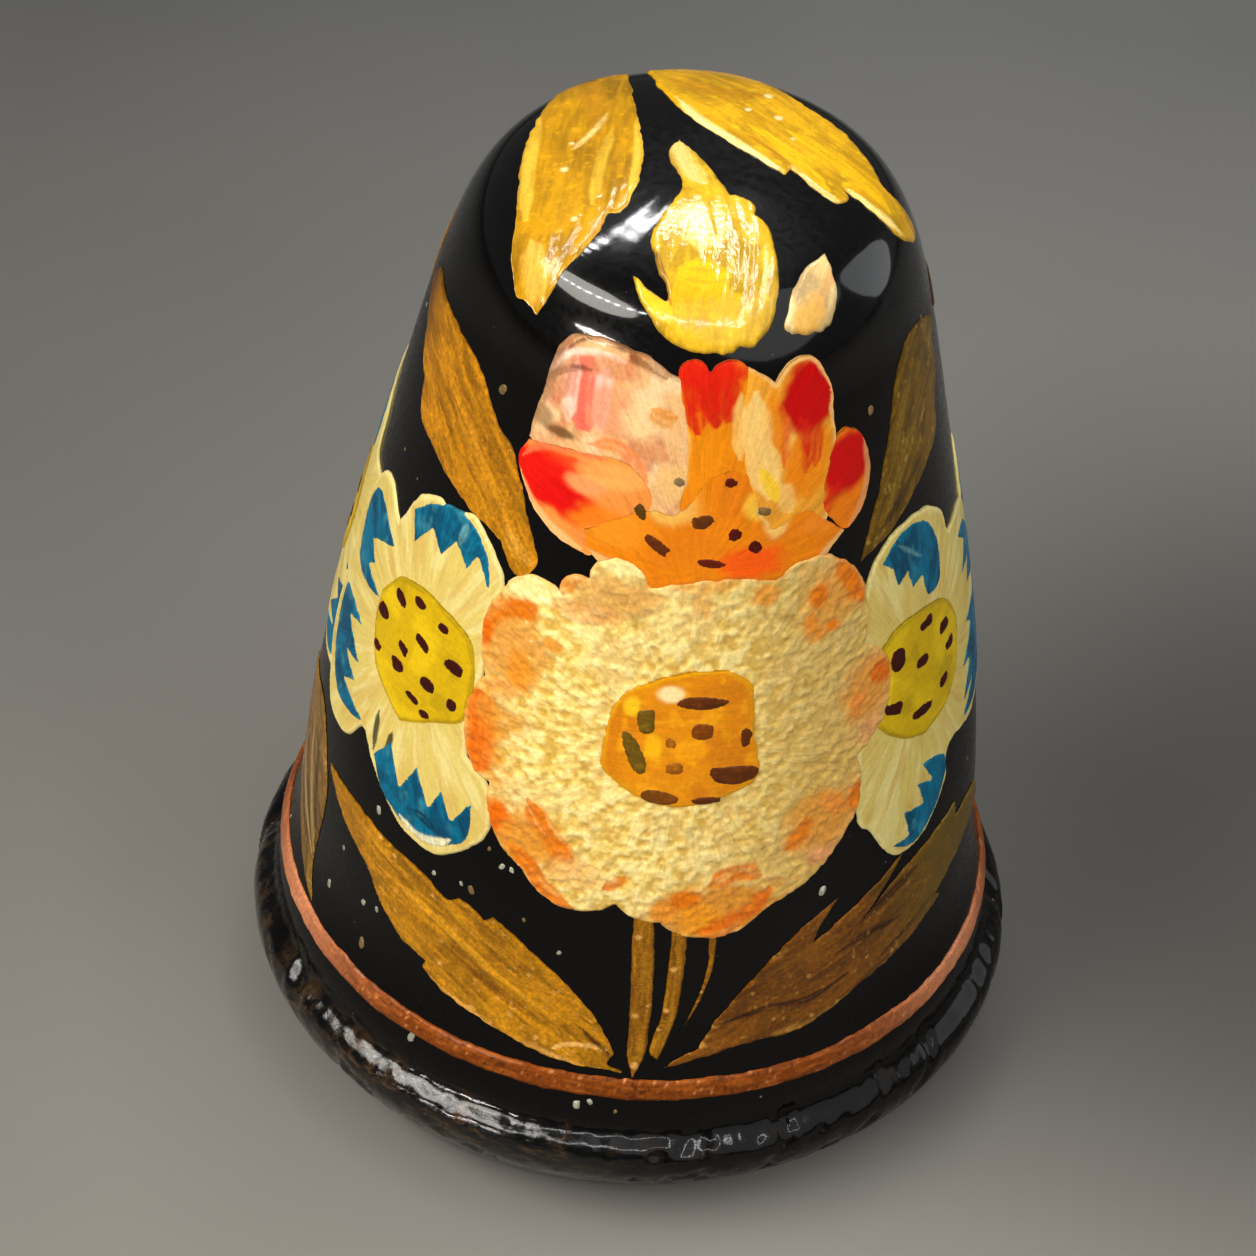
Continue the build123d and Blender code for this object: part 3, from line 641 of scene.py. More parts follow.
tulip_left = [
    [(-16, 22.3), (-14, 21.6), (-22, 21.85), (-30, 22.7), (-33.5, 23.5)],
    [(-32, 24.1), (-20, 24.35), (-8, 24.3), (-3, 23.15)],
]
tulip_pink = [
    [(-32, 24.2), (-31, 25.6), (-29, 27.0)],
    [(-20, 27.3), (-9, 27.2), (-1, 26.8)],
    [(4, 26.7), (5.5, 25.4), (5, 24.2), (4, 23.0)],
    [(-6, 23.0), (-14, 23.6), (-24, 23.8)],
]
tulip_centre = [
    [(3, 23.2), (3.8, 24.6), (2.4, 25.8)],
    [(0.5, 26.8), (4.5, 27.2)],
    [(8, 26.9), (12.5, 27.2)],
    [(17.3, 26.7), (16.4, 25.4), (17.2, 24.0)],
    [(17.2, 23.4)],
]
tulip_upper_right = [
    [(15, 24.0), (15, 25.5), (16.5, 26.9)],
    [(20, 26.8)],
    [(24, 26.5), (28, 26.95), (34, 26.95), (38, 26.1)],
    [(38.8, 25.2), (38.8, 24.4), (37, 23.4), (34.5, 22.3), (24, 22.2)],
]
tulip_right = [
    [(34.5, 22.7), (35.5, 23.7), (39, 24.6), (43.5, 24.7), (47, 24.1)],
    [(48, 23.3), (46, 22.5), (40.5, 21.95)],
]
tulip_dots = [
    (13.6, 24.0, 1.5, 0.13, -20),
    (8.3, 22.95, 2.0, 0.18, 10),
    (-5.0, 23.1, 1.2, 0.2, 30),
    (14.8, 22.55, 1.4, 0.16, -15),
    (-0.8, 22.2, 2.6, 0.15, -38),
    (19.4, 22.1, 1.3, 0.2, 35),
    (10.2, 21.75, 2.6, 0.13, -8),
    (2.6, 24.0, 1.2, 0.12, -30),
    (21.2, 23.1, 1.5, 0.12, -20),
]
blue_left = [
    [(-62.5, 19.1), (-70, 19.7), (-77, 19.2), (-80.5, 17.6), (-80, 16.4)],
    [(-79.5, 15.4), (-79.6, 14.2), (-76, 12.9), (-70, 11.85), (-62, 11.9), (-57, 12.8)],
    [(-53, 12.2), (-44, 11.15), (-36, 10.9), (-29, 11.6), (-25, 12.7), (-27, 14.0)],
    [(-31.5, 14.5), (-33.5, 16), (-31.5, 17.2), (-33, 18.6), (-30.8, 19.8)],
    [(-34.5, 20.6), (-41, 21.2), (-48, 20.9), (-52, 20.9), (-58, 20.4)],
]
blue_left_tips = {
    "top": [
        [(-58.5, 20.0), (-52, 20.75), (-43, 21.1), (-36, 20.5), (-33.5, 19.4)],
        [(-38, 20.2)],
        [(-40, 19.6)],
        [(-44, 20.2)],
        [(-47, 19.5)],
        [(-51, 20.0)],
        [(-55.5, 19.1)],
    ],
    "upper": [
        [(-60.5, 18.4), (-70, 19.0), (-76, 18.8), (-77.5, 17.7), (-73, 16.5), (-61.5, 16.65)],
        [(-68.5, 17.0)],
        [(-66, 17.3)],
        [(-70, 17.7)],
        [(-65, 18.1)],
    ],
    "lower": [
        [(-64, 15.35), (-72, 15.55), (-77, 15.3), (-75, 13.7), (-68, 12.6), (-57.5, 12.95)],
        [(-66.5, 13.3)],
        [(-62, 13.7)],
        [(-68, 14.1)],
        [(-62, 14.3)],
        [(-70.5, 15.0)],
    ],
    "bottom": [
        [(-52.5, 12.5), (-48, 11.6), (-38, 11.1), (-31, 11.6), (-28.5, 12.2)],
        [(-29, 13.3)],
        [(-32.5, 12.35)],
        [(-35.5, 13.1)],
        [(-37.5, 12.35)],
        [(-41.5, 13.3)],
        [(-44.5, 12.3)],
        [(-48.5, 13.4)],
    ],
}
blue_left_eye = [
    [(-61.3, 17.0), (-56, 18.0), (-48, 18.3), (-38, 18.05), (-33.8, 17.4), (-33.2, 15.6), (-40, 14.85)],
    [(-47.5, 14.15), (-57, 14.95), (-60.8, 16.0)],
]
blue_left_seeds = [
    (-54.5, 17.45, 1.7, 0.18, -15),
    (-49, 17.85, 1.5, 0.16, 0),
    (-42, 17.7, 1.4, 0.14, 0),
    (-58.7, 16.6, 1.7, 0.18, 0),
    (-46, 16.85, 1.8, 0.17, -12),
    (-37.6, 16.85, 2.0, 0.18, -5),
    (-50.6, 16.25, 1.4, 0.16, -20),
    (-51.2, 15.65, 1.6, 0.17, 0),
    (-42.6, 15.85, 1.7, 0.18, 0),
    (-36.5, 15.75, 1.1, 0.18, 0),
    (-57.8, 15.55, 1.3, 0.14, -15),
    (-45.5, 15.15, 1.6, 0.12, -10),
    (-42, 14.95, 1.3, 0.12, 5),
]
blue_right = [
    [(42.5, 18.8), (45.5, 20.0), (50, 20.75), (57, 21.0), (66, 20.8), (73.5, 20.0), (75.5, 19.2)],
    [(84, 19.1), (92, 18.5), (99, 17.2), (101, 15.6), (98, 14.2), (91, 13.0), (80, 12.5), (67.5, 12.9)],
    [(65.5, 12.0), (61, 11.2), (55, 10.75), (49, 11.0), (44, 12.2), (40.5, 13.4)],
]
blue_right_tips = {
    "top": [
        [(49, 20.3), (56, 20.85), (65, 20.5), (69.5, 19.4), (68.5, 18.3), (63.5, 18.2)],
        [(61.5, 19.0)],
        [(58, 18.9)],
        [(57, 19.5)],
        [(53.5, 19.3)],
        [(52.5, 19.9)],
    ],
    "upper": [
        [(80, 18.4), (88, 18.2), (96, 16.9), (98.5, 15.6), (92, 15.9)],
        [(84, 16.4)],
        [(88, 16.9)],
        [(80.5, 17.1)],
        [(86, 17.7)],
    ],
    "lower": [
        [(79, 15.6), (88, 15.5), (96, 14.9), (93, 13.6), (84, 12.8), (74, 12.95)],
        [(81, 13.5)],
        [(74, 13.4)],
        [(80, 14.3)],
        [(75, 14.5)],
        [(84, 15.1)],
    ],
    "bottom": [
        [(47.5, 11.35), (54.5, 10.85), (61, 11.35), (65, 12.2), (64.5, 12.9), (57.5, 13.3)],
        [(60, 12.5)],
        [(55.5, 12.8)],
        [(57, 12.0)],
        [(51.5, 12.2)],
        [(53, 11.3)],
    ],
}
blue_right_eye = [
    [(45.5, 17.6), (52, 18.15), (61, 18.05), (69, 17.6), (73.8, 16.6), (72.5, 15.3), (67, 14.45)],
    [(58.5, 14.2), (51.5, 14.7), (46, 15.5), (43.5, 16.5)],
]
blue_right_seeds = [
    (52, 17.2, 1.9, 0.28, -10),
    (61.3, 17.55, 2.0, 0.17, 0),
    (59, 16.55, 1.7, 0.17, -8),
    (67.6, 16.85, 1.9, 0.2, 5),
    (69.2, 16.1, 1.6, 0.18, 0),
    (65.6, 15.25, 1.6, 0.17, 5),
    (58, 15.05, 2.7, 0.17, -6),
    (50, 15.8, 1.9, 0.2, -18),
]
lower_leaf_left = [
    [(-66, 10.3), (-55, 10.4), (-44, 10.2), (-37, 10.1), (-31.5, 9.7)],
    [(-29, 9.95), (-26, 9.8)],
    [(-24, 9.55)],
    [(-22.5, 9.85), (-15, 9.1), (-8.5, 8.2), (-3.5, 7.2)],
    [(0, 6.1)],
    [(-1, 5.75)],
    [(1.5, 5.55), (-9, 5.68), (-19, 6.05), (-30, 6.5)],
    [(-34.5, 6.9)],
    [(-34, 7.15), (-40, 7.4), (-45, 8.0), (-50, 8.8), (-59, 9.5)],
]
lower_leaf_right = [
    [(8, 5.72), (15, 6.0), (22, 6.25), (31, 6.25), (42, 6.85), (55, 7.35)],
    [(64.5, 7.75)],
    [(62, 8.0), (71, 8.4), (79, 8.5)],
    [(89, 8.2), (83, 9.3), (76, 9.8)],
    [(70, 9.9)],
    [(69.5, 10.55), (60, 10.4), (50, 10.0)],
    [(43, 9.3)],
    [(52, 10.75), (45, 10.25), (39, 9.8)],
    [(32.5, 9.2), (34, 9.8)],
    [(37.2, 10.5), (31, 10.0), (25, 9.1), (20, 8.1), (15.5, 7.0)],
    [(13.5, 6.3)],
]
far_left_leaf = [
    [(-63, 5.45), (-67, 6.4), (-66.5, 7.6), (-65.5, 9.0), (-68, 10.2), (-74.5, 11.3)],
    [(-84, 11.1)],
    [(-92, 10.7)],
    [(-88, 9.9)],
    [(-98, 9.7)],
    [(-93, 8.9)],
    [(-100, 8.3), (-92, 7.4), (-80, 6.7), (-71, 5.95)],
]
upper_leaf_left = [
    [(-88, 24.9), (-82, 25.5), (-72, 25.4), (-62, 25.35), (-50, 25.0), (-42, 24.1), (-35, 23.5)],
    [(-30, 22.3), (-25, 20.9), (-29, 20.3)],
    [(-34, 21.0), (-47, 21.45), (-58, 21.9), (-66, 22.2)],
    [(-70, 23.1), (-74, 23.4)],
    [(-77, 24.0), (-82, 24.4)],
]
upper_leaf_right = [
    [(44, 20.7), (47.5, 21.7), (52, 22.9), (57, 24.4), (61, 25.4), (68, 25.9)],
    [(76, 25.8)],
    [(86, 25.2)],
    [(81, 24.7)],
    [(83, 24.2), (77.5, 23.2), (75.5, 22.4), (66, 21.8), (54, 21.1)],
]
stems = [
    [[(1.2, 11.5), (1.3, 10.0), (1.9, 8.0), (2.1, 6.2)], [(3.2, 5.4), (5.1, 6.4), (5.2, 9.0), (3.9, 11.5)]],
    [[(7.6, 11.2), (7.6, 9.5), (7.2, 7.6), (5.6, 6.3)], [(7.0, 5.95), (9.4, 7.4), (10.2, 9.5), (9.7, 11.2)]],
    [[(14.0, 10.5), (14.0, 9.2), (12.8, 8.1)], [(11.0, 7.1), (13.6, 8.2), (15.0, 9.3), (14.9, 10.5)]],
]
# --- motif outlines on the crown, (x, y) ---------------------------------------------------
crown_leaves = {
    "crown_leaf_left": [
        [(-3.6, -4.5), (-4.3, -3.6), (-4.4, -1.8), (-4.4, 0.4), (-4.0, 2.6), (-3.3, 4.1)],
        [(-2.0, 4.3), (-1.7, 2.4), (-1.4, 0.6), (-1.4, -0.8), (-1.7, -2.1)],
        [(-2.1, -2.2), (-2.4, -3.2), (-3.2, -4.2)],
    ],
    "crown_leaf_right": [
        [(-1.5, 4.6), (-1.1, 3.4), (-0.3, 2.1), (0.9, 1.0)],
        [(2.25, -0.05)],
        [(2.4, 0.25), (3.0, -0.35)],
        [(3.6, -0.85), (3.88, -0.6)],
        [(3.8, -0.2), (4.5, -0.65)],
        [(5.2, -0.95), (5.6, -0.5)],
        [(5.65, 0.25)],
        [(4.9, 0.35)],
        [(4.6, 0.95), (3.9, 2.2), (2.9, 3.2), (1.6, 4.4), (0.2, 4.9)],
    ],
    "crown_leaf_centre": [
        [(-0.5, 1.0), (-0.7, 0.3), (-0.3, -1.0), (-0.8, -2.4), (-0.9, -3.4), (-0.4, -4.9)],
        [(-1.3, -4.3), (-1.0, -5.0), (-0.3, -5.55), (0.8, -5.65), (2.1, -5.1), (2.3, -4.0), (2.0, -2.4)],
        [(1.6, -1.8), (1.2, -1.2)],
        [(0.9, -1.2), (0.4, -0.2)],
    ],
    "crown_leaf_small": [
        [(3.4, -2.75), (2.9, -3.4), (2.55, -4.7)],
        [(2.75, -4.85), (3.5, -4.4), (3.8, -3.7)],
    ],
}


# --- pigments, as seen on a screen --------------------------------------------------------
CREAM = srgb(246, 212, 116)
DEEP_CREAM = srgb(205, 165, 80)
PALE = srgb(255, 236, 158)
ORANGE = srgb(222, 114, 0)
PEACH = srgb(218, 144, 46)
EYE_ORANGE = srgb(224, 138, 2)
OLIVE = srgb(104, 78, 12)
SEED_BROWN = srgb(86, 40, 4)
TULIP_ORANGE = srgb(233, 130, 6)
BLUE = srgb(0, 100, 130)
DEEP_BLUE = srgb(0, 60, 88)
LIGHT_BLUE = srgb(60, 134, 150)
PETAL_CREAM = srgb(216, 192, 102)
PETAL_WHITE = srgb(230, 214, 140)
PETAL_TAN = srgb(206, 168, 84)
EYE_YELLOW = srgb(204, 166, 4)
EYE_GREEN = srgb(160, 132, 6)
DOT_MAROON = srgb(54, 8, 2)
LEAF_GOLD = srgb(176, 118, 8)
BRIGHT_GOLD = srgb(206, 148, 2)
GOLD_DARK = srgb(186, 126, 8)
COPPER = srgb(128, 60, 4)


# --- brush marks ----------------------------------------------------------------------------
def dabbed(base, *marks):
    """Colour function: a base colour with marks laid on it in order."""

    def colour(u, v, depth):
        tint = plain(base, len(u))
        for mark in marks:
            tint = mark(u, v, depth, tint)
        return tint

    return colour


def mottle(colour, size, low=0.45, high=0.75, strength=1.0, seed=0, stretch=1.0):
    def mark(u, v, depth, tint):
        return mixed(tint, colour, strength * smooth(low, high, layered(u / size, v / size / stretch, seed)))

    return mark


def blob(wrap, centre, wide, tall, colour, strength=1.0, tilt=0, ragged=0.5, seed=0, fade=0.35):
    """A soft-edged dab with a ragged outline; wide and tall are half-sizes in millimetres."""
    (cu, cv), turn = wrap.flat([centre])[0], math.radians(tilt)

    def mark(u, v, depth, tint):
        x = ((u - cu) * math.cos(turn) + (v - cv) * math.sin(turn)) / wide
        y = (-(u - cu) * math.sin(turn) + (v - cv) * math.cos(turn)) / tall
        reach = np.hypot(x, y) + (layered(u / 0.35, v / 0.35, seed) - 0.5) * ragged
        return mixed(tint, colour, strength * (1 - smooth(1 - fade, 1 + fade, reach)))

    return mark


def stroke(wrap, points, width, colour, strength=1.0, seed=0, bristle=0.5, taper=0.35):
    """A brush stroke along points, thinning at both ends and broken by bristle marks."""
    path = through(wrap.flat(points), 0.25)

    def mark(u, v, depth, tint):
        share, side, length = along(path, u, v)
        ends = smooth(0, taper, share) * (1 - smooth(1 - taper, 1, share) * 0.8)
        hairs = layered(share * length / 0.9, side / 0.09, seed)
        body = 1 - smooth(0.6, 1.15, np.abs(side) / (width * (0.15 + 0.85 * ends)))
        body = body * ((share > 0) & (share < 1))
        return mixed(tint, colour, strength * body * (1 - bristle + bristle * smooth(0.3, 0.62, hairs)))

    return mark


def rays(wrap, centre, colour, count=90, low=0.5, high=0.7, strength=0.6, seed=0, run=1.2, inside_of=99.0):
    """Fine streaks all round a centre."""
    cu, cv = wrap.flat([centre])[0]

    def mark(u, v, depth, tint):
        far = np.hypot(u - cu, v - cv)
        bearing = np.arctan2(v - cv, u - cu) + 7
        hairs = layered(bearing * count / (2 * math.pi), far / run, seed)
        return mixed(tint, colour, strength * smooth(low, high, hairs) * (far < inside_of))

    return mark


def edging(colour, width, strength=1.0, seed=0, size=0.5):
    """A ragged rim of colour along the outline."""

    def mark(u, v, depth, tint):
        reach = width * (0.35 + 1.3 * layered(u / size, v / size, seed))
        return mixed(tint, colour, strength * (1 - smooth(reach * 0.7, reach, depth)))

    return mark


def lengthwise(path, colour, across=0.11, run=1.8, low=0.48, high=0.66, strength=0.7, seed=0):
    """Streaks that follow a path through the whole shape."""

    def mark(u, v, depth, tint):
        share, side, length = along(path, u, v)
        hairs = layered(share * length / run, side / across, seed)
        return mixed(tint, colour, strength * smooth(low, high, hairs))

    return mark


def dust(wrap, colour, spots, strength=0.85):
    """Light flecks: (place, place, half-size in millimetres)."""

    def mark(u, v, depth, tint):
        for x, y, size in spots:
            cu, cv = wrap.flat([(x, y)])[0]
            reach = np.hypot(u - cu, (v - cv)) / size
            tint = mixed(tint, colour, strength * (1 - smooth(0.6, 1.1, reach)))
        return tint

    return mark


# --- relief -----------------------------------------------------------------------------------
def hidden_by(lines, height):
    """Sinks the coat where it runs underneath other outlines, from a little way inside their edges."""

    def lift(u, v, depth):
        rise = height(u, v, depth)
        for line in lines:
            low, high = line.min(0), line.max(0)
            near = np.flatnonzero((u > low[0]) & (u < high[0]) & (v > low[1]) & (v < high[1]))
            near = near[inside(line[::2], u[near], v[near])]
            within = edge_distance(line[::2], u[near], v[near])
            rise[near] = rise[near] * (1 - smooth(0.06, 0.16, within)) - 0.02 * smooth(0, 0.1, within)
        return rise

    return lift


def stippled(height, size=0.2, rough=0.045, seed=0):
    """Thick dabbed paint."""

    def lift(u, v, depth):
        lumps = layered(u / size, v / (size * 0.85), seed, 2)
        fine = noise(u / 0.11, v / 0.11, seed + 5)
        return height + rough * (smooth(0.25, 0.8, lumps) - 0.7) + rough * 0.25 * (fine - 0.5)

    return lift


def stipple_painted_shade_and_highlight(valley_shade, crest, size=0.2, seed=0):
    """Painted shade in the hollows and painted highlights on the tops of the stippled relief that has the
    same size and seed.
    """

    def mark(u, v, depth, tint):
        lumps = layered(u / size, v / (size * 0.85), seed, 2)
        tint = mixed(tint, valley_shade, 0.75 * (1 - smooth(0.25, 0.52, lumps)))
        return mixed(tint, crest, 0.8 * smooth(0.54, 0.78, lumps))

    return mark


def combed(height, path=None, centre=None, across=0.13, rough=0.014, seed=0):
    """Ridges left by bristles drawn along a path, or outwards from a centre."""

    def lift(u, v, depth):
        if path is not None:
            share, side, length = along(path, u, v)
            hairs = layered(share * length / 1.5, side / across, seed)
        else:
            far = np.hypot(u - centre[0], v - centre[1])
            bearing = np.arctan2(v - centre[1], u - centre[0]) + 7
            hairs = layered(bearing * 2.6 / across, far / 1.4, seed)
        return height + rough * (hairs - 0.5) * 2

    return lift


def path_flow(path):
    def flow(u, v):
        share, side, length = along(path, u, v)
        return np.stack([share * length, side], -1)

    return flow


def ray_flow(centre, reach=3.5):
    def flow(u, v):
        far = np.hypot(u - centre[0], v - centre[1])
        return np.stack([far, np.arctan2(v - centre[1], u - centre[0]) * reach], -1)

    return flow


# --- laying the paint -----------------------------------------------------------------------
def shifted(runs, turn):
    return [[(angle + turn, height) for angle, height in run] for run in runs]


def moved(points, turn):
    return [(angle + turn, height) for angle, height in points]


def toward(wrap, start, end, colour, strength=1.0):
    """Blends to a colour along the line from start to end."""
    (au, av), (bu, bv) = wrap.flat([start, end])
    gap = (bu - au) ** 2 + (bv - av) ** 2

    def mark(u, v, depth, tint):
        share = ((u - au) * (bu - au) + (v - av) * (bv - av)) / gap
        return mixed(tint, colour, strength * smooth(0, 1, share))

    return mark


def seeds(work, wrap, spots, turn, colours, lift, tall=0.055, step=0.05, seed=0, swell_by=1.0):
    """Oval dabs with slightly uneven outlines, one colour function each."""
    for index, (angle, height, across, reach, tilt) in enumerate(spots):
        cu, cv = wrap.flat([(angle + turn, height)])[0]
        wide = math.radians(across) * np.interp(cv, WALL_S, WALL_R) * swell_by
        reach = reach * swell_by
        count = max(14, int(2 * math.pi * max(wide, reach) / step))
        bearing = np.linspace(0, 2 * math.pi, count, endpoint=False)
        swell = 1 + 0.34 * (noise(bearing * 1.1, bearing * 0 + index * 3.7, seed + index) - 0.5)
        across_now, up_now = np.cos(bearing), np.sin(bearing)
        x = wide * np.sign(across_now) * np.abs(across_now) ** 0.8 * swell
        y = reach * np.sign(up_now) * np.abs(up_now) ** 0.8 * swell
        lean = math.radians(tilt)
        line = np.stack(
            [cu + x * math.cos(lean) - y * math.sin(lean), cv + x * math.sin(lean) + y * math.cos(lean)], -1
        )
        tint = colours[index % len(colours)]
        shade = dabbed(tint, mottle(tint * 2.2, 0.16, 0.5, 0.9, 0.6, seed + index))
        domed = lambda u, v, depth: lift + tall * smooth(0, 0.16, depth)
        work.patch(wrap, line, step, shade, domed, edge=0.05, seed=seed + index)


def bouquet(prefix, turn, step):
    """Daisy, tulip and stems; returns the outlines that cover other motifs."""
    wrap = Wrap(BOUQUET_MIDDLE + turn)
    seed = 40 + int(turn)

    def at(angle, height):
        return (angle + turn, height)

    def spot(angle, height, wide, tall, colour, strength=1.0, tilt=0, ragged=0.55, fade=0.35):
        mix = int(angle * 7 + height * 13) + seed
        return blob(wrap, at(angle, height), wide, tall, colour, strength, tilt, ragged, mix, fade)

    def line(points, width, colour, strength=1.0, bristle=0.4, taper=0.25):
        mix = int(points[0][0] * 5 + points[0][1] * 11) + seed
        return stroke(wrap, moved(points, turn), width, colour, strength, mix, bristle, taper)

    hot = srgb(226, 104, 0)
    amber = srgb(220, 138, 26)
    tan = srgb(214, 160, 78)
    centre = at(7, 16.6)
    cu, cv = wrap.flat([centre])[0]
    daisy_line = ring(wrap, shifted(daisy, turn), step, 0.05, seed + 1, 0.3)
    petals = Brushwork()
    daisy_colour = dabbed(
        CREAM,
        rays(wrap, centre, DEEP_CREAM, 110, 0.5, 0.72, 0.45, seed + 2, 0.7),
        rays(wrap, centre, PALE, 90, 0.52, 0.7, 0.6, seed + 3, 0.8),
        # Painted shade in the stipple's hollows and painted highlights on its tops.
        stipple_painted_shade_and_highlight(srgb(206, 158, 52), PALE, seed=seed + 7),
        mottle(srgb(246, 218, 146), 1.5, 0.5, 0.7, 0.4, seed + 4),
        # Partly the paint's own tone and partly painted shade: the daisy darkens towards its right and lower
        # right, away from the key light.
        toward(wrap, at(8, 16.6), at(34, 17.2), srgb(196, 160, 82), 0.75),
        toward(wrap, at(9, 15.0), at(30, 12.4), srgb(212, 170, 84), 0.5),
        mottle(srgb(170, 132, 62), 0.22, 0.62, 0.8, 0.4, seed + 5, 1.4),
        spot(-20.5, 12.8, 1.7, 0.75, amber, 0.85, -22, 0.9),
        spot(-29.5, 15.4, 0.7, 1.5, amber, 0.8, 8, 0.9),
        spot(14.5, 11.2, 1.9, 0.75, amber, 0.85, 6, 0.9),
        spot(35, 13.3, 1.3, 0.95, srgb(228, 160, 84), 0.75, 20, 0.9),
        spot(44.5, 17.0, 0.95, 1.1, srgb(226, 158, 90), 0.75, 0, 0.9),
        spot(38, 20.4, 1.1, 0.9, srgb(224, 158, 78), 0.75, 0, 0.9),
        spot(-27.5, 18.3, 1.1, 1.3, PEACH, 0.85),
        line([(-33.5, 18.2), (-31.5, 19.0), (-28, 19.4), (-24.5, 19.7)], 0.3, ORANGE, 0.95),
        spot(-33, 18.4, 0.28, 0.4, hot),
        spot(-25.5, 19.5, 0.42, 0.36, ORANGE, 0.9),
        spot(-24.5, 17.7, 0.34, 0.6, srgb(232, 144, 34), 0.9),
        spot(-18.7, 18.8, 0.26, 0.2, srgb(232, 150, 50), 0.9),
        line([(-29.4, 14.2), (-29.6, 15.2), (-30.4, 16.0), (-31.6, 16.7)], 0.46, hot, 0.95, 0.25, 0.12),
        spot(-26.5, 16.2, 0.8, 0.5, PEACH, 0.65),
        spot(-27.6, 17.0, 0.5, 0.3, srgb(230, 146, 60), 0.6),
        spot(-23.7, 13.2, 0.42, 0.46, hot, 1.0),
        line([(-19, 14.1), (-16.5, 13.5), (-13, 12.9), (-9.5, 12.3)], 0.42, ORANGE, 0.95),
        line([(-22, 12.6), (-17, 12.0), (-14, 11.4), (-9, 10.95)], 0.3, ORANGE, 0.95),
        spot(-19, 12.9, 0.62, 0.45, PEACH, 0.75),
        spot(-8.5, 12.1, 0.7, 0.55, srgb(238, 190, 110), 0.7),
        line([(-4.6, 11.8), (-2.6, 12.0), (-0.8, 12.3)], 0.18, ORANGE, 0.85),
        spot(6, 11.2, 0.3, 0.46, srgb(224, 140, 40), 0.9),
        spot(9.4, 11.6, 0.42, 0.36, ORANGE, 0.95),
        spot(12.5, 10.9, 0.62, 0.5, srgb(236, 150, 26), 0.95),
        line([(13, 12.0), (16, 12.3), (19, 12.4), (22, 12.1)], 0.34, ORANGE, 0.9),
        line([(11, 10.5), (15, 10.55), (20, 11.1), (24, 11.7)], 0.36, hot, 0.95),
        spot(17, 11.5, 0.6, 0.4, PEACH, 0.8),
        spot(33, 13.5, 1.05, 0.85, PEACH, 0.75),
        line([(26, 12.8), (28.5, 13.1), (30.5, 13.7)], 0.3, ORANGE, 0.85),
        line([(33, 14.3), (35.5, 13.9), (38, 13.4)], 0.28, srgb(232, 142, 50), 0.9),
        spot(40.4, 13.8, 0.24, 0.42, ORANGE, 0.9),
        spot(34, 12.3, 0.6, 0.3, srgb(230, 156, 100), 0.8),
        spot(43.5, 16.9, 0.85, 0.85, PEACH, 0.75),
        line([(44.5, 17.4), (46.5, 17.3), (49, 16.9)], 0.36, hot, 0.95, 0.2),
        spot(41.3, 16.6, 0.26, 0.36, srgb(228, 136, 54), 0.85),
        spot(43.5, 15.6, 0.4, 0.34, srgb(222, 150, 96), 0.6),
        spot(36.5, 20.0, 0.85, 0.8, PEACH, 0.6),
        line([(37.5, 21.2), (40.5, 20.6), (43.5, 19.6)], 0.34, ORANGE, 0.95),
        spot(33.4, 20.3, 0.26, 0.32, ORANGE, 0.9),
        line([(31.5, 19.9), (31.8, 19.3), (34, 19.0)], 0.26, srgb(226, 134, 32), 0.9),
        spot(35.8, 19.3, 0.24, 0.2, ORANGE, 0.85),
        line([(-18.4, 20.3), (-17, 20.8), (-14, 21.2)], 0.28, ORANGE, 0.95),
        spot(-8, 20.6, 1.15, 0.5, tan, 0.9),
        spot(-13, 20.0, 0.9, 0.32, srgb(222, 158, 86), 0.75),
        spot(9, 20.5, 0.3, 0.34, srgb(216, 150, 60), 0.6),
        spot(22, 20.7, 0.36, 0.34, srgb(224, 140, 36), 0.8),
        spot(9, 21.1, 0.9, 0.25, PEACH, 0.6),
        spot(-26, 20.1, 0.8, 0.32, PALE, 0.8),
        spot(-6, 21.45, 0.9, 0.2, PALE, 0.85),
        edging(srgb(226, 160, 84), 0.09, 0.5, seed + 6),
    )
    petals.patch(
        wrap,
        daisy_line,
        step,
        daisy_colour,
        stippled(0.1, seed=seed + 7),
        ray_flow((cu, cv)),
        0.12,
        seed,
    )
    petals.finish(prefix + "daisy_brushwork", STIPPLE, "cream_stipple", [prefix + "daisy_petals"])

    eye = Brushwork()
    eye_line = ring(wrap, shifted(daisy_eye, turn), step, 0.05, seed + 8, 0.5)
    eye_colour = dabbed(
        EYE_ORANGE,
        mottle(srgb(204, 116, 2), 0.8, 0.4, 0.7, 0.7, seed + 9),
        mottle(srgb(250, 176, 14), 0.3, 0.55, 0.8, 0.5, seed + 10),
        edging(srgb(216, 148, 4), 0.16, 0.85, seed + 11),
        spot(-2.4, 17.6, 0.22, 0.28, srgb(250, 196, 24), 0.9),
        spot(2.0, 16.4, 0.22, 0.42, srgb(252, 186, 10), 0.8),
        spot(8.2, 16.35, 0.5, 0.3, srgb(252, 168, 4), 0.7),
        # Painted highlight: a near-white glint on the eye.
        spot(4.4, 18.0, 0.33, 0.24, srgb(255, 226, 160), 0.95, ragged=0.25),
    )
    ridges = combed(0.14, centre=(cu, cv), rough=0.008, seed=seed)
    eye.patch(wrap, eye_line, step, eye_colour, ridges, None, 0.12, seed, 0.6)
    eye.finish(prefix + "daisy_eye_brushwork", EYE_ORANGE_PAINT, "orange_eye_paint", [prefix + "daisy_eye"])
    dark = Brushwork()
    faint = srgb(150, 86, 8)
    seed_colours = [SEED_BROWN, OLIVE, OLIVE, faint, srgb(118, 58, 4), SEED_BROWN]
    seed_colours += [faint, SEED_BROWN, srgb(112, 60, 6), SEED_BROWN]
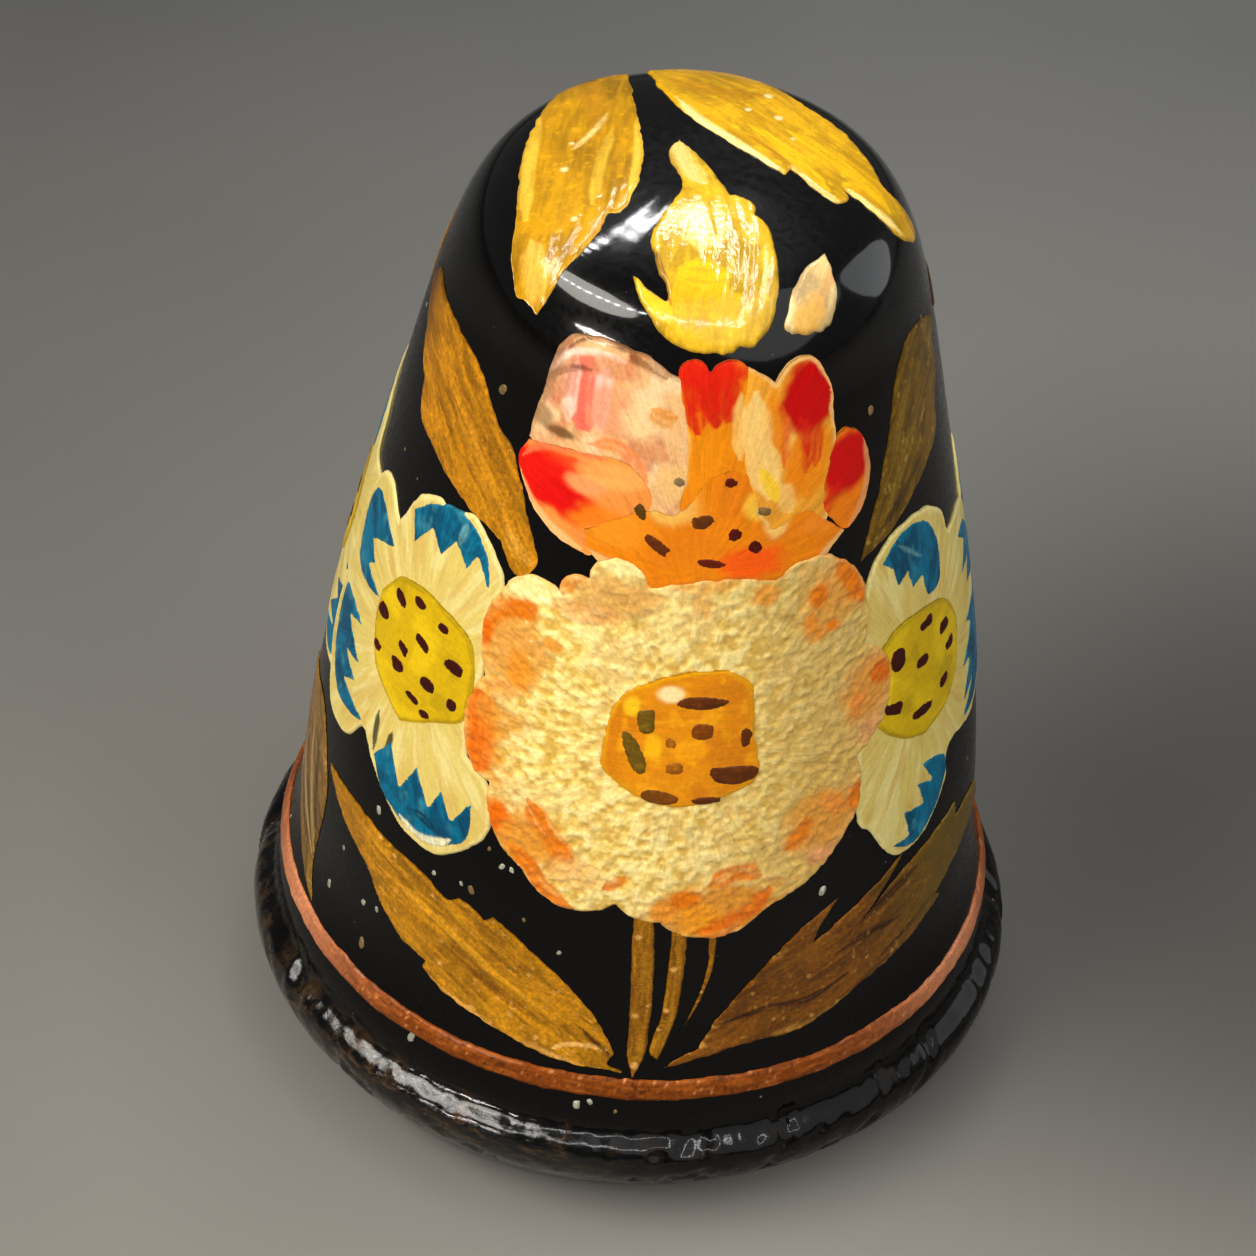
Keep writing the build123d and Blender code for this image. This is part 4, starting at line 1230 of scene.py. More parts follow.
    seeds(dark, wrap, daisy_seeds, turn, seed_colours, 0.14, 0.03, seed=seed + 12, swell_by=1.2)
    dark.finish(prefix + "daisy_seed_dabs", DARK_PAINT, "dark_dot_paint", [prefix + "daisy_seeds"])

    # Tulip: bowl over the petals, each petal brushed from the bowl outwards.
    base = wrap.flat([at(8, 21.4)])[0]
    lines = {
        key: ring(wrap, shifted(runs, turn), step, 0.06, seed + 20 + k, 0.4)
        for k, (key, runs) in enumerate(
            {
                "bowl": tulip_bowl,
                "left_petal": tulip_left,
                "centre_petal": tulip_centre,
                "right_petal": tulip_right,
                "upper_right_petal": tulip_upper_right,
                "pink_petal": tulip_pink,
            }.items()
        )
    }
    rim_cream = srgb(228, 180, 112)
    salmon = srgb(236, 110, 66)
    red_tip = srgb(206, 26, 6)
    grey = srgb(176, 156, 118)
    dusky_rim = [(-31, 26.5), (-26, 27.2), (-19, 27.35), (-11, 27.25)]
    pale_rim = [(-31, 26.1), (-26, 26.75), (-19, 26.95), (-12, 26.9)]
    outer_rim = [(46.5, 24.4), (47.5, 23.4), (45, 22.5), (41, 22.0)]
    washes = {
        "bowl": (
            TULIP_ORANGE,
            [
                mottle(srgb(222, 118, 10), 0.7, 0.45, 0.75, 0.6, seed + 30),
                spot(-9, 22.5, 0.9, 0.5, srgb(238, 142, 26), 0.8),
                spot(2, 23.3, 0.7, 0.5, srgb(238, 184, 84), 0.8),
                spot(18.6, 21.7, 0.85, 0.46, srgb(244, 88, 6), 0.95),
                spot(24, 22.8, 0.34, 0.5, srgb(242, 192, 104), 0.95),
                spot(20.5, 23.3, 0.4, 0.4, srgb(246, 192, 60), 0.9),
                spot(21.2, 23.1, 0.2, 0.16, grey, 0.7),
                spot(34, 22.4, 0.6, 0.3, srgb(238, 134, 30), 0.8),
                line([(-17, 21.75), (-12, 21.58), (-6, 21.45)], 0.14, rim_cream, 0.9, 0.2),
                line([(44, 22.3), (38, 21.75), (33, 21.4)], 0.14, rim_cream, 0.9, 0.2),
            ],
        ),
        "left_petal": (
            srgb(238, 142, 60),
            [
                spot(-27.0, 23.3, 1.05, 0.78, srgb(220, 16, 2), 1.0, 8, 0.35, 0.2),
                spot(-20.5, 22.9, 1.0, 0.5, srgb(214, 6, 1), 1.0, -14, 0.35, 0.25),
                spot(-16.8, 23.5, 0.6, 0.26, srgb(240, 150, 88), 0.95),
                spot(-19.5, 23.95, 0.85, 0.2, srgb(228, 44, 10), 0.85),
                spot(-12, 23.9, 0.8, 0.36, srgb(244, 168, 84), 0.8),
                spot(-12, 22.6, 0.9, 0.42, srgb(238, 128, 20), 0.85),
                line([(-32.5, 23.6), (-29, 24.1), (-22, 24.3), (-14, 24.3)], 0.13, salmon, 0.8, 0.2),
                line([(-34, 23.4), (-30, 22.7), (-24, 22.1), (-16, 21.7)], 0.16, rim_cream, 0.95, 0.2),
            ],
        ),
        "pink_petal": (
            srgb(230, 176, 116),
            [
                mottle(srgb(240, 206, 158), 0.5, 0.48, 0.7, 0.7, seed + 31, 1.6),
                mottle(srgb(196, 104, 64), 0.42, 0.52, 0.72, 0.6, seed + 35, 1.8),
                line([(-21, 26.9), (-21, 26.0), (-19.5, 24.9)], 0.6, srgb(232, 96, 80), 0.95, 0.3),
                line([(-17, 26.8), (-16.5, 25.9), (-16, 25.0)], 0.26, srgb(248, 200, 180), 0.85, 0.5),
                line([(-24.5, 26.8), (-24.5, 25.9), (-23.5, 25.0)], 0.24, srgb(246, 206, 180), 0.85, 0.5),
                line([(-27.5, 27.1), (-28, 26.2), (-27.5, 25.4)], 0.5, srgb(198, 120, 84), 0.85, 0.4),
                line(dusky_rim, 0.22, srgb(70, 36, 22), 0.9, 0.75, 0.1),
                line(pale_rim, 0.11, srgb(238, 208, 180), 0.9, 0.6, 0.1),
                line([(-31, 25.7), (-26, 26.35), (-20, 26.5)], 0.1, srgb(110, 62, 40), 0.8, 0.7, 0.1),
                line([(-12, 27.2), (-6, 27.0), (-1, 26.8)], 0.3, srgb(120, 66, 24), 0.85, 0.6, 0.1),
                spot(-13.5, 25.6, 0.65, 0.7, srgb(230, 140, 96), 0.7),
                spot(-15, 26.7, 0.7, 0.3, srgb(206, 128, 84), 0.7),
                spot(-6, 25.6, 0.6, 0.6, srgb(240, 200, 140), 0.8),
                spot(-24.5, 24.65, 0.42, 0.14, srgb(98, 66, 26), 0.85),
                spot(-30, 24.9, 0.36, 0.3, srgb(130, 96, 60), 0.7),
                line([(-18, 24.6), (-12, 24.75), (-7, 24.4), (-4, 23.9)], 0.2, srgb(234, 128, 60), 0.8),
                line([(-5, 25.9), (-2, 25.7), (1, 25.7)], 0.3, srgb(214, 130, 30), 0.8),
                spot(1.8, 24.0, 0.5, 0.5, srgb(236, 186, 110), 0.7),
                line([(-30, 25.2), (-30, 26.0), (-28.5, 26.9)], 0.2, srgb(150, 112, 80), 0.7),
                edging(srgb(160, 110, 70), 0.12, 0.4, seed + 32),
            ],
        ),
        "centre_petal": (
            srgb(235, 137, 6),
            [
                mottle(srgb(224, 122, 6), 0.5, 0.5, 0.75, 0.6, seed + 33, 3),
                line([(3.2, 27.2), (4.6, 26.5), (5.2, 25.9)], 0.34, red_tip, 0.95, 0.4),
                line([(7, 27.0), (8, 26.4), (8.6, 25.7)], 0.26, red_tip, 0.9, 0.4),
                line([(11.2, 27.3), (10.8, 26.6), (12.2, 25.8)], 0.34, red_tip, 0.95, 0.4),
                spot(7, 26.9, 1.0, 0.5, srgb(212, 26, 6), 0.95),
                line([(4, 26.8), (5, 26.0), (6, 25.3)], 0.3, red_tip, 0.95, 0.45),
                line([(10, 26.8), (9.6, 26.0), (10, 25.5)], 0.34, red_tip, 0.95, 0.45),
                line([(13.5, 26.8), (13, 26.2), (12.6, 25.6)], 0.3, red_tip, 0.9, 0.45),
                line([(15.6, 26.4), (15.2, 25.6), (15.6, 24.6)], 0.2, srgb(240, 190, 100), 0.85, 0.5),
                line([(3.2, 25.6), (3.2, 24.8), (3, 23.6)], 0.18, srgb(236, 182, 90), 0.8),
                spot(2.7, 24.0, 0.18, 0.14, grey, 0.7),
            ],
        ),
        "upper_right_petal": (
            srgb(236, 158, 44),
            [
                line([(19, 26.4), (19, 25.4), (21, 24.3), (23, 23.4)], 0.5, srgb(244, 202, 116), 0.95, 0.25),
                line([(23.5, 26.4), (24.5, 25.4), (25.5, 24.6)], 0.3, srgb(230, 132, 16), 0.9),
                line([(26.5, 25.6), (27, 25), (26.5, 24.2)], 0.2, srgb(240, 180, 90), 0.8),
                line([(29, 25.0), (29, 24.1), (28, 23.2)], 0.4, srgb(234, 128, 6), 0.95),
                line([(36, 25.1), (33.5, 24.3), (31, 23.2)], 0.5, srgb(234, 132, 6), 0.95),
                line([(24.5, 23.8), (26, 23.4), (27, 22.9)], 0.3, srgb(242, 190, 100), 0.8),
                line([(20, 24.3), (22, 23.9), (24, 23.3)], 0.2, srgb(246, 196, 30), 0.9),
                spot(32.7, 26.0, 0.8, 1.05, srgb(192, 4, 2), 1.0, 0, 0.35, 0.2),
                line([(31.5, 25.4), (31.5, 24.7), (30.5, 23.9)], 0.2, srgb(206, 30, 4), 0.85, 0.5),
                line([(34.5, 25.2), (34, 24.6), (33, 24.0)], 0.16, srgb(206, 30, 4), 0.85, 0.5),
                line([(25.5, 25.9), (26, 25.0), (25.5, 24.2)], 0.12, srgb(226, 90, 10), 0.85, 0.5),
                line([(29.5, 25.5), (30.8, 25.0), (31.5, 24.4)], 0.2, red_tip, 0.8),
                edging(srgb(236, 186, 110), 0.12, 0.8, seed + 34),
            ],
        ),
        "right_petal": (
            srgb(234, 122, 10),
            [
                spot(41.6, 23.8, 0.82, 0.86, srgb(198, 4, 2), 1.0, -24, 0.3, 0.2),
                line([(38.8, 23.4), (36.4, 22.9), (33.5, 22.6)], 0.22, srgb(210, 20, 4), 0.8),
                line(outer_rim, 0.16, srgb(222, 150, 92), 0.9, 0.2),
                line([(37, 24.4), (40, 24.9), (44, 24.8)], 0.12, srgb(232, 120, 60), 0.7),
            ],
        ),
    }
    covers = [daisy_line]
    for depth_down, key in enumerate(lines):
        wash, marks = washes[key]
        work = Brushwork()
        mix = seed + depth_down
        colour = dabbed(wash, rays(wrap, at(8, 20.0), wash * 0.72, 150, 0.5, 0.72, 0.45, mix), *marks)
        ridges = combed(0.075 - 0.002 * depth_down, centre=tuple(base), seed=mix)
        work.patch(
            wrap,
            lines[key],
            step,
            colour,
            hidden_by(covers, ridges),
            ray_flow(tuple(base), 4.5),
            0.09,
            mix,
            0.8,
        )
        covers = covers + [lines[key]]
        finish, slot = (TULIP_PAINT, "tulip_orange")
        if key in ("left_petal", "right_petal"):
            finish, slot = (TULIP_RED_PAINT, "tulip_red")
        if key == "pink_petal":
            finish, slot = (TULIP_PINK_PAINT, "tulip_pink")
        work.finish(f"{prefix}tulip_{key}_brushwork", finish, slot, [f"{prefix}tulip_{key}"])
    dots = Brushwork()
    dot_colours = [srgb(84, 20, 2), srgb(88, 44, 6), srgb(84, 54, 8), srgb(76, 14, 2), srgb(92, 40, 4)]
    dot_colours += [srgb(70, 10, 2), srgb(92, 24, 2), srgb(128, 104, 70), srgb(120, 92, 50)]
    seeds(dots, wrap, tulip_dots, turn, dot_colours, 0.075, 0.02, seed=seed + 50, swell_by=1.3)
    dots.finish(prefix + "tulip_dot_dabs", DARK_PAINT, "dark_dot_paint", [prefix + "tulip_dots"])

    stalks = Brushwork()
    fleck = srgb(240, 180, 96)
    flecks = [(2.2, 10.3, 0.1), (2.8, 7.5, 0.1), (3.4, 5.8, 0.13), (4.8, 7.9, 0.07), (8.4, 9.2, 0.1)]
    flecks += [(7.7, 7.7, 0.09), (6.7, 7.0, 0.06), (13, 8.3, 0.08), (10.9, 10.5, 0.1)]
    for index, runs in enumerate(stems):
        lead = through(wrap.flat(moved(runs[0], turn)), 0.3)
        stalk = dabbed(
            srgb(152, 98, 6),
            lengthwise(lead, srgb(104, 60, 4), 0.06, 1.2, 0.5, 0.7, 0.8, seed + index),
            lengthwise(lead, srgb(190, 132, 24), 0.05, 1.0, 0.55, 0.72, 0.8, seed + 3 + index),
            dust(wrap, fleck, [(a + turn, z, size) for a, z, size in flecks], 0.8),
        )
        shape = ring(wrap, shifted(runs, turn), 0.05, 0.03, seed + 60 + index, 0.25)
        ridges = hidden_by([daisy_line], combed(0.07, lead, rough=0.012, seed=seed + index))
        stalks.patch(wrap, shape, 0.06, stalk, ridges, path_flow(lead), 0.07, seed + index)
    stalks.finish(prefix + "stem_strokes", LEAF_PAINT, "leaf_gold_paint", [prefix + "stems"])
    return covers


def blue_flower(name, shapes, turn, middle, step, covers, seed):
    """Cream petals, blue tips with fingers of cream between them, yellow eye, dark seeds."""
    petals, tips, eye, spots = shapes
    wrap = Wrap(middle)
    eye_points = wrap.flat([point for run in shifted(eye, turn) for point in run])
    centre = tuple(eye_points.mean(0))
    middle_place = (
        middle + math.degrees(centre[0] / np.interp(centre[1], WALL_S, WALL_R)),
        np.interp(centre[1], WALL_S, WALL_Z),
    )
    lines = [cover_in(wrap, cover) for cover in covers]
    petal_line = ring(wrap, shifted(petals, turn), step, 0.05, seed, 0.35)
    work = Brushwork()
    marks = [
        rays(wrap, middle_place, PETAL_WHITE, 70, 0.5, 0.7, 0.7, seed + 1, 1.6),
        rays(wrap, middle_place, PETAL_TAN, 80, 0.56, 0.74, 0.6, seed + 2, 1.4),
        mottle(PETAL_TAN, 1.4, 0.5, 0.75, 0.35, seed + 3),
        edging(PETAL_WHITE, 0.16, 0.7, seed + 4),
    ]
    if spots is blue_left_seeds:
        ink = srgb(6, 8, 14)
        left_gap = [(-53.3, 13.9), (-53, 13.2), (-52.6, 12.6)]
        right_gap = [(-48.6, 13.7), (-49, 13.2), (-49.3, 12.7)]
        for points in (left_gap, right_gap):
            marks.append(stroke(wrap, moved(points, turn), 0.13, ink, 0.95, seed, 0.1, 0.3))
    work.patch(
        wrap,
        petal_line,
        step,
        dabbed(PETAL_CREAM, *marks),
        hidden_by(lines, combed(0.062, centre=centre, across=0.12, rough=0.012, seed=seed)),
        ray_flow(centre),
        0.1,
        seed,
    )
    work.finish(name + "_petal_brushwork", CREAM_PAINT, "cream_paint", [name + "_petals"])
    work = Brushwork()
    for index, (key, runs) in enumerate(tips.items()):
        tip_line = ring(wrap, shifted(runs, turn), min(step, 0.06), 0.035, seed + 10 + index, 0.25)
        marks = [
            rays(wrap, middle_place, DEEP_BLUE, 60, 0.46, 0.68, 0.75, seed + 11 + index, 1.0),
            mottle(LIGHT_BLUE, 0.35, 0.56, 0.76, 0.55, seed + 12 + index, 1.6),
            mottle(DEEP_BLUE, 0.6, 0.52, 0.72, 0.6, seed + 13 + index),
            edging(LIGHT_BLUE, 0.06, 0.5, seed + 14 + index, 0.3),
        ]
        if key == "bottom" and spots is blue_left_seeds:
            inky = srgb(4, 14, 26)
            rim = [(-43.5, 11.45), (-39, 11.2), (-34, 11.45), (-32, 11.75)]
            shadow = [(-41, 11.9), (-37, 11.85), (-35, 11.7)]
            marks.append(stroke(wrap, moved(shadow, turn), 0.16, inky, 0.9, seed))
            marks.append(stroke(wrap, moved(rim, turn), 0.17, srgb(232, 226, 180), 0.95, seed, 0.15, 0.2))
        if key == "top":
            # Painted highlights: pale glints on the top blue tips.
            pale_glint = srgb(120, 176, 176)
            left_glint = [(-42, 21), (-42.5, 20.6), (-43, 20.2)]
            right_glint = [(54, 20.6), (58, 20.1), (62, 19.6)]
            marks.append(stroke(wrap, moved(left_glint, turn), 0.14, pale_glint, 0.6, seed))
            marks.append(stroke(wrap, moved(right_glint, turn), 0.08, pale_glint, 0.5, seed))
        work.patch(
            wrap,
            tip_line,
            min(step, 0.06),
            dabbed(BLUE, *marks),
            hidden_by(lines, combed(0.082, centre=centre, across=0.12, rough=0.01, seed=seed + index)),
            ray_flow(centre),
            0.08,
            seed + index,
        )
    work.finish(name + "_blue_strokes", BLUE_PAINT, "blue_paint", [name + "_blue_tips"])
    work = Brushwork()
    eye_line = ring(wrap, shifted(eye, turn), step, 0.04, seed + 20, 0.4)
    work.patch(
        wrap,
        eye_line,
        step,
        dabbed(
            EYE_YELLOW,
            mottle(srgb(232, 194, 16), 0.9, 0.45, 0.7, 0.6, seed + 21),
            mottle(EYE_GREEN, 0.7, 0.58, 0.8, 0.5, seed + 22),
            edging(EYE_GREEN, 0.14, 0.6, seed + 23),
        ),
        hidden_by(lines, combed(0.105, centre=centre, rough=0.006, seed=seed)),
        None,
        0.1,
        seed,
        0.6,
    )
    work.finish(name + "_eye_brushwork", EYE_YELLOW_PAINT, "yellow_eye_paint", [name + "_eye"])
    work = Brushwork()
    seeds(work, wrap, spots, turn, [DOT_MAROON], 0.105, 0.022, seed=seed + 30, swell_by=1.3)
    work.finish(name + "_seed_dabs", DARK_PAINT, "dark_dot_paint", [name + "_seeds"])
    return petal_line


def cover_in(wrap, entry):
    """An outline of one wrap, re-laid in the (u, v) of another."""
    line, source = entry
    r = np.interp(line[:, 1], WALL_S, WALL_R)
    away = source.middle - wrap.middle
    away -= 360 * round(away / 360)
    return np.stack([line[:, 0] + math.radians(away) * r, line[:, 1]], -1)


def leaf(node, drawing, turn, middle, step, covers, wash, lift, finish, slot, seed, streak=0.7):
    """One brushed leaf from its outline, marks and spine; returns its outline and wrap."""
    runs, marks, spine = drawing
    wrap = Wrap(middle)
    path = through(wrap.flat(moved(spine, turn) if middle is not None else spine), 0.3)
    shape = ring(wrap, shifted(runs, turn) if middle is not None else runs, step, 0.06, seed, 0.3)
    lines = [cover_in(wrap, cover) for cover in covers] if middle is not None else []
    work = Brushwork()
    light = np.minimum(wash * 1.5, 1)
    streaked = [
        mottle(wash * 0.55, 1.1, 0.48, 0.7, 0.6, seed + 3),
        mottle(light, 0.8, 0.5, 0.7, 0.55, seed + 4),
        mottle(np.minimum(wash * 1.9, 1), 0.17, 0.64, 0.78, 0.5, seed + 6),
        lengthwise(path, wash * 0.5, 0.2, 1.3, 0.5, 0.7, streak, seed + 1),
        lengthwise(path, light, 0.15, 1.0, 0.54, 0.7, streak, seed + 2),
        mottle(wash * 0.5, 0.22, 0.6, 0.8, 0.4 * streak, seed + 5),
    ]
    ridges = hidden_by(lines, combed(lift, path, rough=0.01, seed=seed))
    colour = dabbed(wash, *streaked, *marks(wrap, path, turn, seed))
    work.patch(wrap, shape, step, colour, ridges, path_flow(path), 0.08, seed)
    work.finish(node + "_strokes", finish, slot, [node])
    return (shape, wrap)


def wall_marks(strokes, fade=None, flecks=None, speckle=None):
    """Marks of a wall leaf: a fade along it, strokes in order, light flecks and a speckle."""

    def marks(wrap, path, turn, seed):
        rows = []
        if fade:
            start, end, colour, strength = fade
            rows.append(toward(wrap, *moved([start, end], turn), colour, strength))
        for points, width, colour, strength, mix, *brush in strokes:
            rows.append(stroke(wrap, moved(points, turn), width, colour, strength, seed + mix, *brush))
        if flecks:
            colour, spots, strength = flecks
            rows.append(dust(wrap, colour, [(a + turn, z, size) for a, z, size in spots], strength))
        if speckle:
            colour, *grain, mix = speckle
            rows.append(mottle(colour, *grain, seed + mix))
        return rows

    return marks


glow = srgb(228, 160, 24)
pale_tan = srgb(232, 172, 84)
lower_left_marks = wall_marks(
    [
        ([(-48, 9.25), (-36, 9.05), (-26, 8.4), (-18, 7.7), (-10, 7.0)], 0.14, glow, 0.85, 5, 0.4),
        ([(-50, 8.7), (-38, 7.6), (-28, 6.9), (-18, 6.4), (-8, 6.0)], 0.2, srgb(206, 144, 20), 0.6, 6, 0.7),
        ([(-58, 10.1), (-44, 9.8), (-30, 9.3), (-18, 8.6)], 0.16, glow, 0.45, 7, 0.8),
        ([(-30, 8.1), (-22, 7.5), (-12, 6.7)], 0.14, srgb(120, 66, 4), 0.6, 9, 0.7),
        ([(-34, 6.85), (-28, 6.5), (-20, 6.15), (-10, 5.8), (-2, 5.6)], 0.1, pale_tan, 0.75, 8, 0.9),
        ([(-10, 5.95), (-8, 6.2), (-4, 6.3), (-1, 6.2)], 0.08, srgb(244, 184, 96), 0.95, 0, 0.1, 0.1),
        ([(-6, 6.9), (-3, 6.4), (-0.8, 6.1)], 0.08, srgb(50, 14, 2), 0.9, 0, 0.1),
    ],
    flecks=(
        pale_tan,
        [
            *[(-12.8, 6.2, 0.09), (-20, 7.1, 0.06), (-31, 7.4, 0.09), (-24, 6.45, 0.1), (-15, 8.3, 0.07)],
            *[(-34, 9.6, 0.07), (-43, 10.0, 0.09), (-47, 10.2, 0.1), (-8.8, 5.72, 0.09), (-36, 8.9, 0.06)],
        ],
        0.75,
    ),
    speckle=(pale_tan, 0.16, 0.72, 0.84, 0.5, 10),
)
maroon = srgb(44, 10, 2)
dull_gold = srgb(196, 142, 60)
lower_right_marks = wall_marks(
    [
        ([(17, 7.1), (24, 7.35), (32, 7.25), (40, 7.6)], 0.15, maroon, 0.9, 5, 0.6),
        ([(37, 8.5), (44, 8.7), (52, 8.5)], 0.2, maroon, 0.9, 6, 0.6),
        ([(41, 9.2), (48, 9.6), (56, 9.9)], 0.18, maroon, 0.85, 7, 0.6),
        ([(46, 7.4), (55, 7.9), (62, 8.1)], 0.12, maroon, 0.7, 8, 0.7),
        ([(22, 6.4), (34, 6.5), (46, 7.1)], 0.12, srgb(172, 126, 44), 0.6, 9, 0.9),
        ([(24, 8.6), (32, 9.0), (40, 9.2)], 0.2, srgb(146, 92, 8), 0.7, 11, 0.6),
    ],
    fade=((40, 8.2), (66, 9.4), srgb(110, 88, 20), 0.8),
    flecks=(
        dull_gold,
        [
            *[(14, 6.4, 0.14), (32, 8.1, 0.08), (26, 6.9, 0.07), (33, 6.6, 0.08), (38, 6.7, 0.1)],
            *[(22, 8.0, 0.06), (44, 7.8, 0.07), (30, 7.6, 0.05), (50, 7.4, 0.08), (29, 6.35, 0.12)],
            (41, 8.1, 0.06),
        ],
        0.8,
    ),
    speckle=(dull_gold, 0.17, 0.7, 0.84, 0.5, 10),
)
upper_left_marks = wall_marks(
    [
        ([(-66, 24.4), (-52, 23.6), (-40, 22.3), (-29, 21.0)], 0.3, srgb(222, 150, 30), 0.55, 5, 0.7),
        ([(-62, 22.6), (-48, 22.2), (-36, 21.4)], 0.2, srgb(206, 140, 16), 0.5, 6, 0.7),
        ([(-50, 24.4), (-42, 23.5), (-36, 22.8)], 0.22, srgb(130, 84, 8), 0.6, 7, 0.6),
        ([(-33, 21.5), (-28, 20.9), (-25, 20.8)], 0.25, srgb(226, 166, 60), 0.6, 8, 0.6),
    ],
    fade=((-66, 24.2), (-86, 25.0), srgb(60, 34, 6), 0.85),
)
olive_gold = srgb(150, 116, 34)
upper_right_marks = wall_marks(
    [
        ([(50, 21.4), (58, 22.6), (66, 23.6), (76, 24.4)], 0.2, olive_gold, 0.6, 5, 0.7),
        ([(54, 22.6), (60, 24.0), (68, 25.2)], 0.2, olive_gold, 0.5, 6, 0.8),
        ([(48, 21.2), (56, 21.7), (66, 22.4)], 0.16, srgb(60, 40, 6), 0.7, 7, 0.6),
    ],
    speckle=(srgb(186, 156, 70), 0.2, 0.7, 0.82, 0.5, 8),
)
faded = srgb(196, 158, 90)
fan_tips = [(-72, 10.6), (-78, 10.4), (-84, 9.9), (-88, 9.2), (-90, 8.4)]
far_left_marks = wall_marks(
    [
        (
            [(-66, 6.4), ((a - 66) / 2 - 1, (z + 6.2) / 2), (a, z)],
            0.2,
            faded if index % 2 else srgb(50, 32, 10),
            0.7,
            index,
            0.6,
        )
        for index, (a, z) in enumerate(fan_tips)
    ],
    speckle=(faded, 0.2, 0.68, 0.82, 0.6, 8),
)


def crown_marks(edges, flecks):
    def marks(wrap, path, turn, seed):
        rows = []
        for index, (points, width, colour, strength) in enumerate(edges):
            rows.append(stroke(wrap, points, width, colour, strength, seed + index, 0.5, 0.2))
        rows.append(dust(wrap, srgb(255, 236, 170), flecks, 0.7))
        return rows

    return marks


# --- finishes -------------------------------------------------------------------------------
STIPPLE = paint_material("cream_gold_stipple", 0.42, 0.12, 0.16, 0.4, 0.05, 0.3)
EYE_ORANGE_PAINT = paint_material("orange_eye", 0.4, 0.1, 0.1, 0.15, 0.0, 0.35)
DARK_PAINT = paint_material("dark_dabs", 0.5, 0.2, 0.25, 0.2, 0.0, 0.15)
TULIP_PAINT = paint_material("tulip_orange_wash", 0.45, 0.1, 0.08, 0.15, 0.0, 0.2)
TULIP_RED_PAINT = paint_material("tulip_red_wash", 0.45, 0.1, 0.08, 0.15, 0.0, 0.2)
TULIP_PINK_PAINT = paint_material("tulip_pink_wash", 0.45, 0.14, 0.12, 0.15, 0.0, 0.2)
BLUE_PAINT = paint_material("blue_tips", 0.45, 0.3, 0.25, 0.25, 0.0, 0.2)
CREAM_PAINT = paint_material("cream_petals", 0.45, 0.08, 0.07, 0.2, 0.0, 0.2)
EYE_YELLOW_PAINT = paint_material("yellow_eye", 0.4, 0.08, 0.1, 0.15, 0.0, 0.25)
LEAF_PAINT = paint_material("leaf_gold", 0.42, 0.14, 0.34, 0.45, 0.2, 0.3)
CROWN_PAINT = paint_material("bright_gold", 0.42, 0.08, 0.12, 0.45, 0.1, 1.0, 0.22)
COPPER_PAINT = paint_material("copper_line", 0.5, 0.25, 0.3, 0.35, 0.2, 0.2)
SPATTER = paint_material("cream_spatter", 0.4, 0.2, 0.3, 0.2, 0.0, 0.8)
LACQUER_GLOSS = lacquer_material()
LIMEWOOD = wood_material()

# --- wood, lacquer and band -----------------------------------------------------------------
bore_end = cubic([(AXIS, 25.6), (3.4, 24.9), (5.4, 22.9), (6.1, 20.0)], (1, 0), (0.1, -0.995), 24)
bore_wall = np.stack([np.linspace(6.1, 8.2, 60), np.linspace(20.0, 0.4, 60)], -1)[1:]
wood_line = np.vstack(
    [
        bore_end,
        bore_wall,
        [(8.32, 0.14), (8.6, 0.0), (8.88, 0.0)],
        bead_line[2::4] - outward(bead_line)[2::4] * 0.02,
        wall_line[4::14] - outward(wall_line)[4::14] * 0.02,
        [(0.6, WOOD_HEIGHT - 0.02), (AXIS, WOOD_HEIGHT - 0.02)],
    ]
)


def tool_marks(a, r, z):
    """Lathe rings left in the bore, and raised grain."""
    in_bore = (r < 8.25) & (z < 25.7) & (z > 0.2) & (r < 8.3 - z * 0.09)
    rings = 0.012 * np.sin(z * 9.0 + 0.6 * noise(a * 3, z, 5)) + 0.02 * (noise(a * 14, z * 0.5, 6) - 0.5)
    return np.where(in_bore, rings, 0)


turned_piece("turned_limewood", wood_line[::-1], LIMEWOOD, ["wood_body"], 240, ripple=tool_marks)


def lacquer_flow(a, r, z):
    """Unevenness of the brushed lacquer: waves on the wall, nicks and brush ends on the bead."""
    x, y = np.sin(a) * 14, np.cos(a) * 14
    soft = 0.012 * (noise(x * 0.22 + 60, y * 0.22 + z * 0.3 + 60, 11) - 0.5)
    wave = 0.006 * (noise(x * 0.8 + 60, z * 0.25 + y * 0.5 + 60, 12) - 0.5)
    on_bead = smooth(*BEAD_FADE, z)
    nick = smooth(0.74, 0.86, noise(x * 1.7 + 60, z * 2.2 + y * 1.3 + 60, 13))
    grainy = noise(x * 3.1 + 60, z * 4.0 + y * 3.1 + 60, 14) - 0.5
    pits = smooth(0.6, 0.85, noise(x * 6 + 90, z * 7 + y * 6 + 90, 15))
    lips = on_bead * (-0.09 * nick + 0.03 * grainy - 0.03 * pits - 0.022)
    return np.where(r < 1.4, -0.004, soft + wave + lips - 0.004)


def wear_and_sheen_amount(a, r, z):
    """Where the lacquer is rubbed: the foot bead most of all, then its cove. The strong brown patch on the
    bead's front left is painted warm sheen round its highlight as well as wear.
    """
    x, y = np.sin(a) * 14, np.cos(a) * 14
    patch = smooth(0.36, 0.62, noise(x * 0.35 + 60, z * 0.6 + y * 0.35 + 60, 21))
    degrees = (np.degrees(a) + 180) % 360 - 180
    # Painted sheen: a brown patch centred 27 degrees left of the front, where the bead's highlight falls.
    painted_sheen_patch = np.exp(-(((degrees + 27) / 26) ** 2))
    share = 0.05 + 0.6 * smooth(10, -40, degrees) + 0.3 * smooth(100, 160, np.abs(degrees))
    return smooth(3.9, 3.3, z) * np.clip(0.05 + share * patch + 0.75 * painted_sheen_patch, 0, 1)


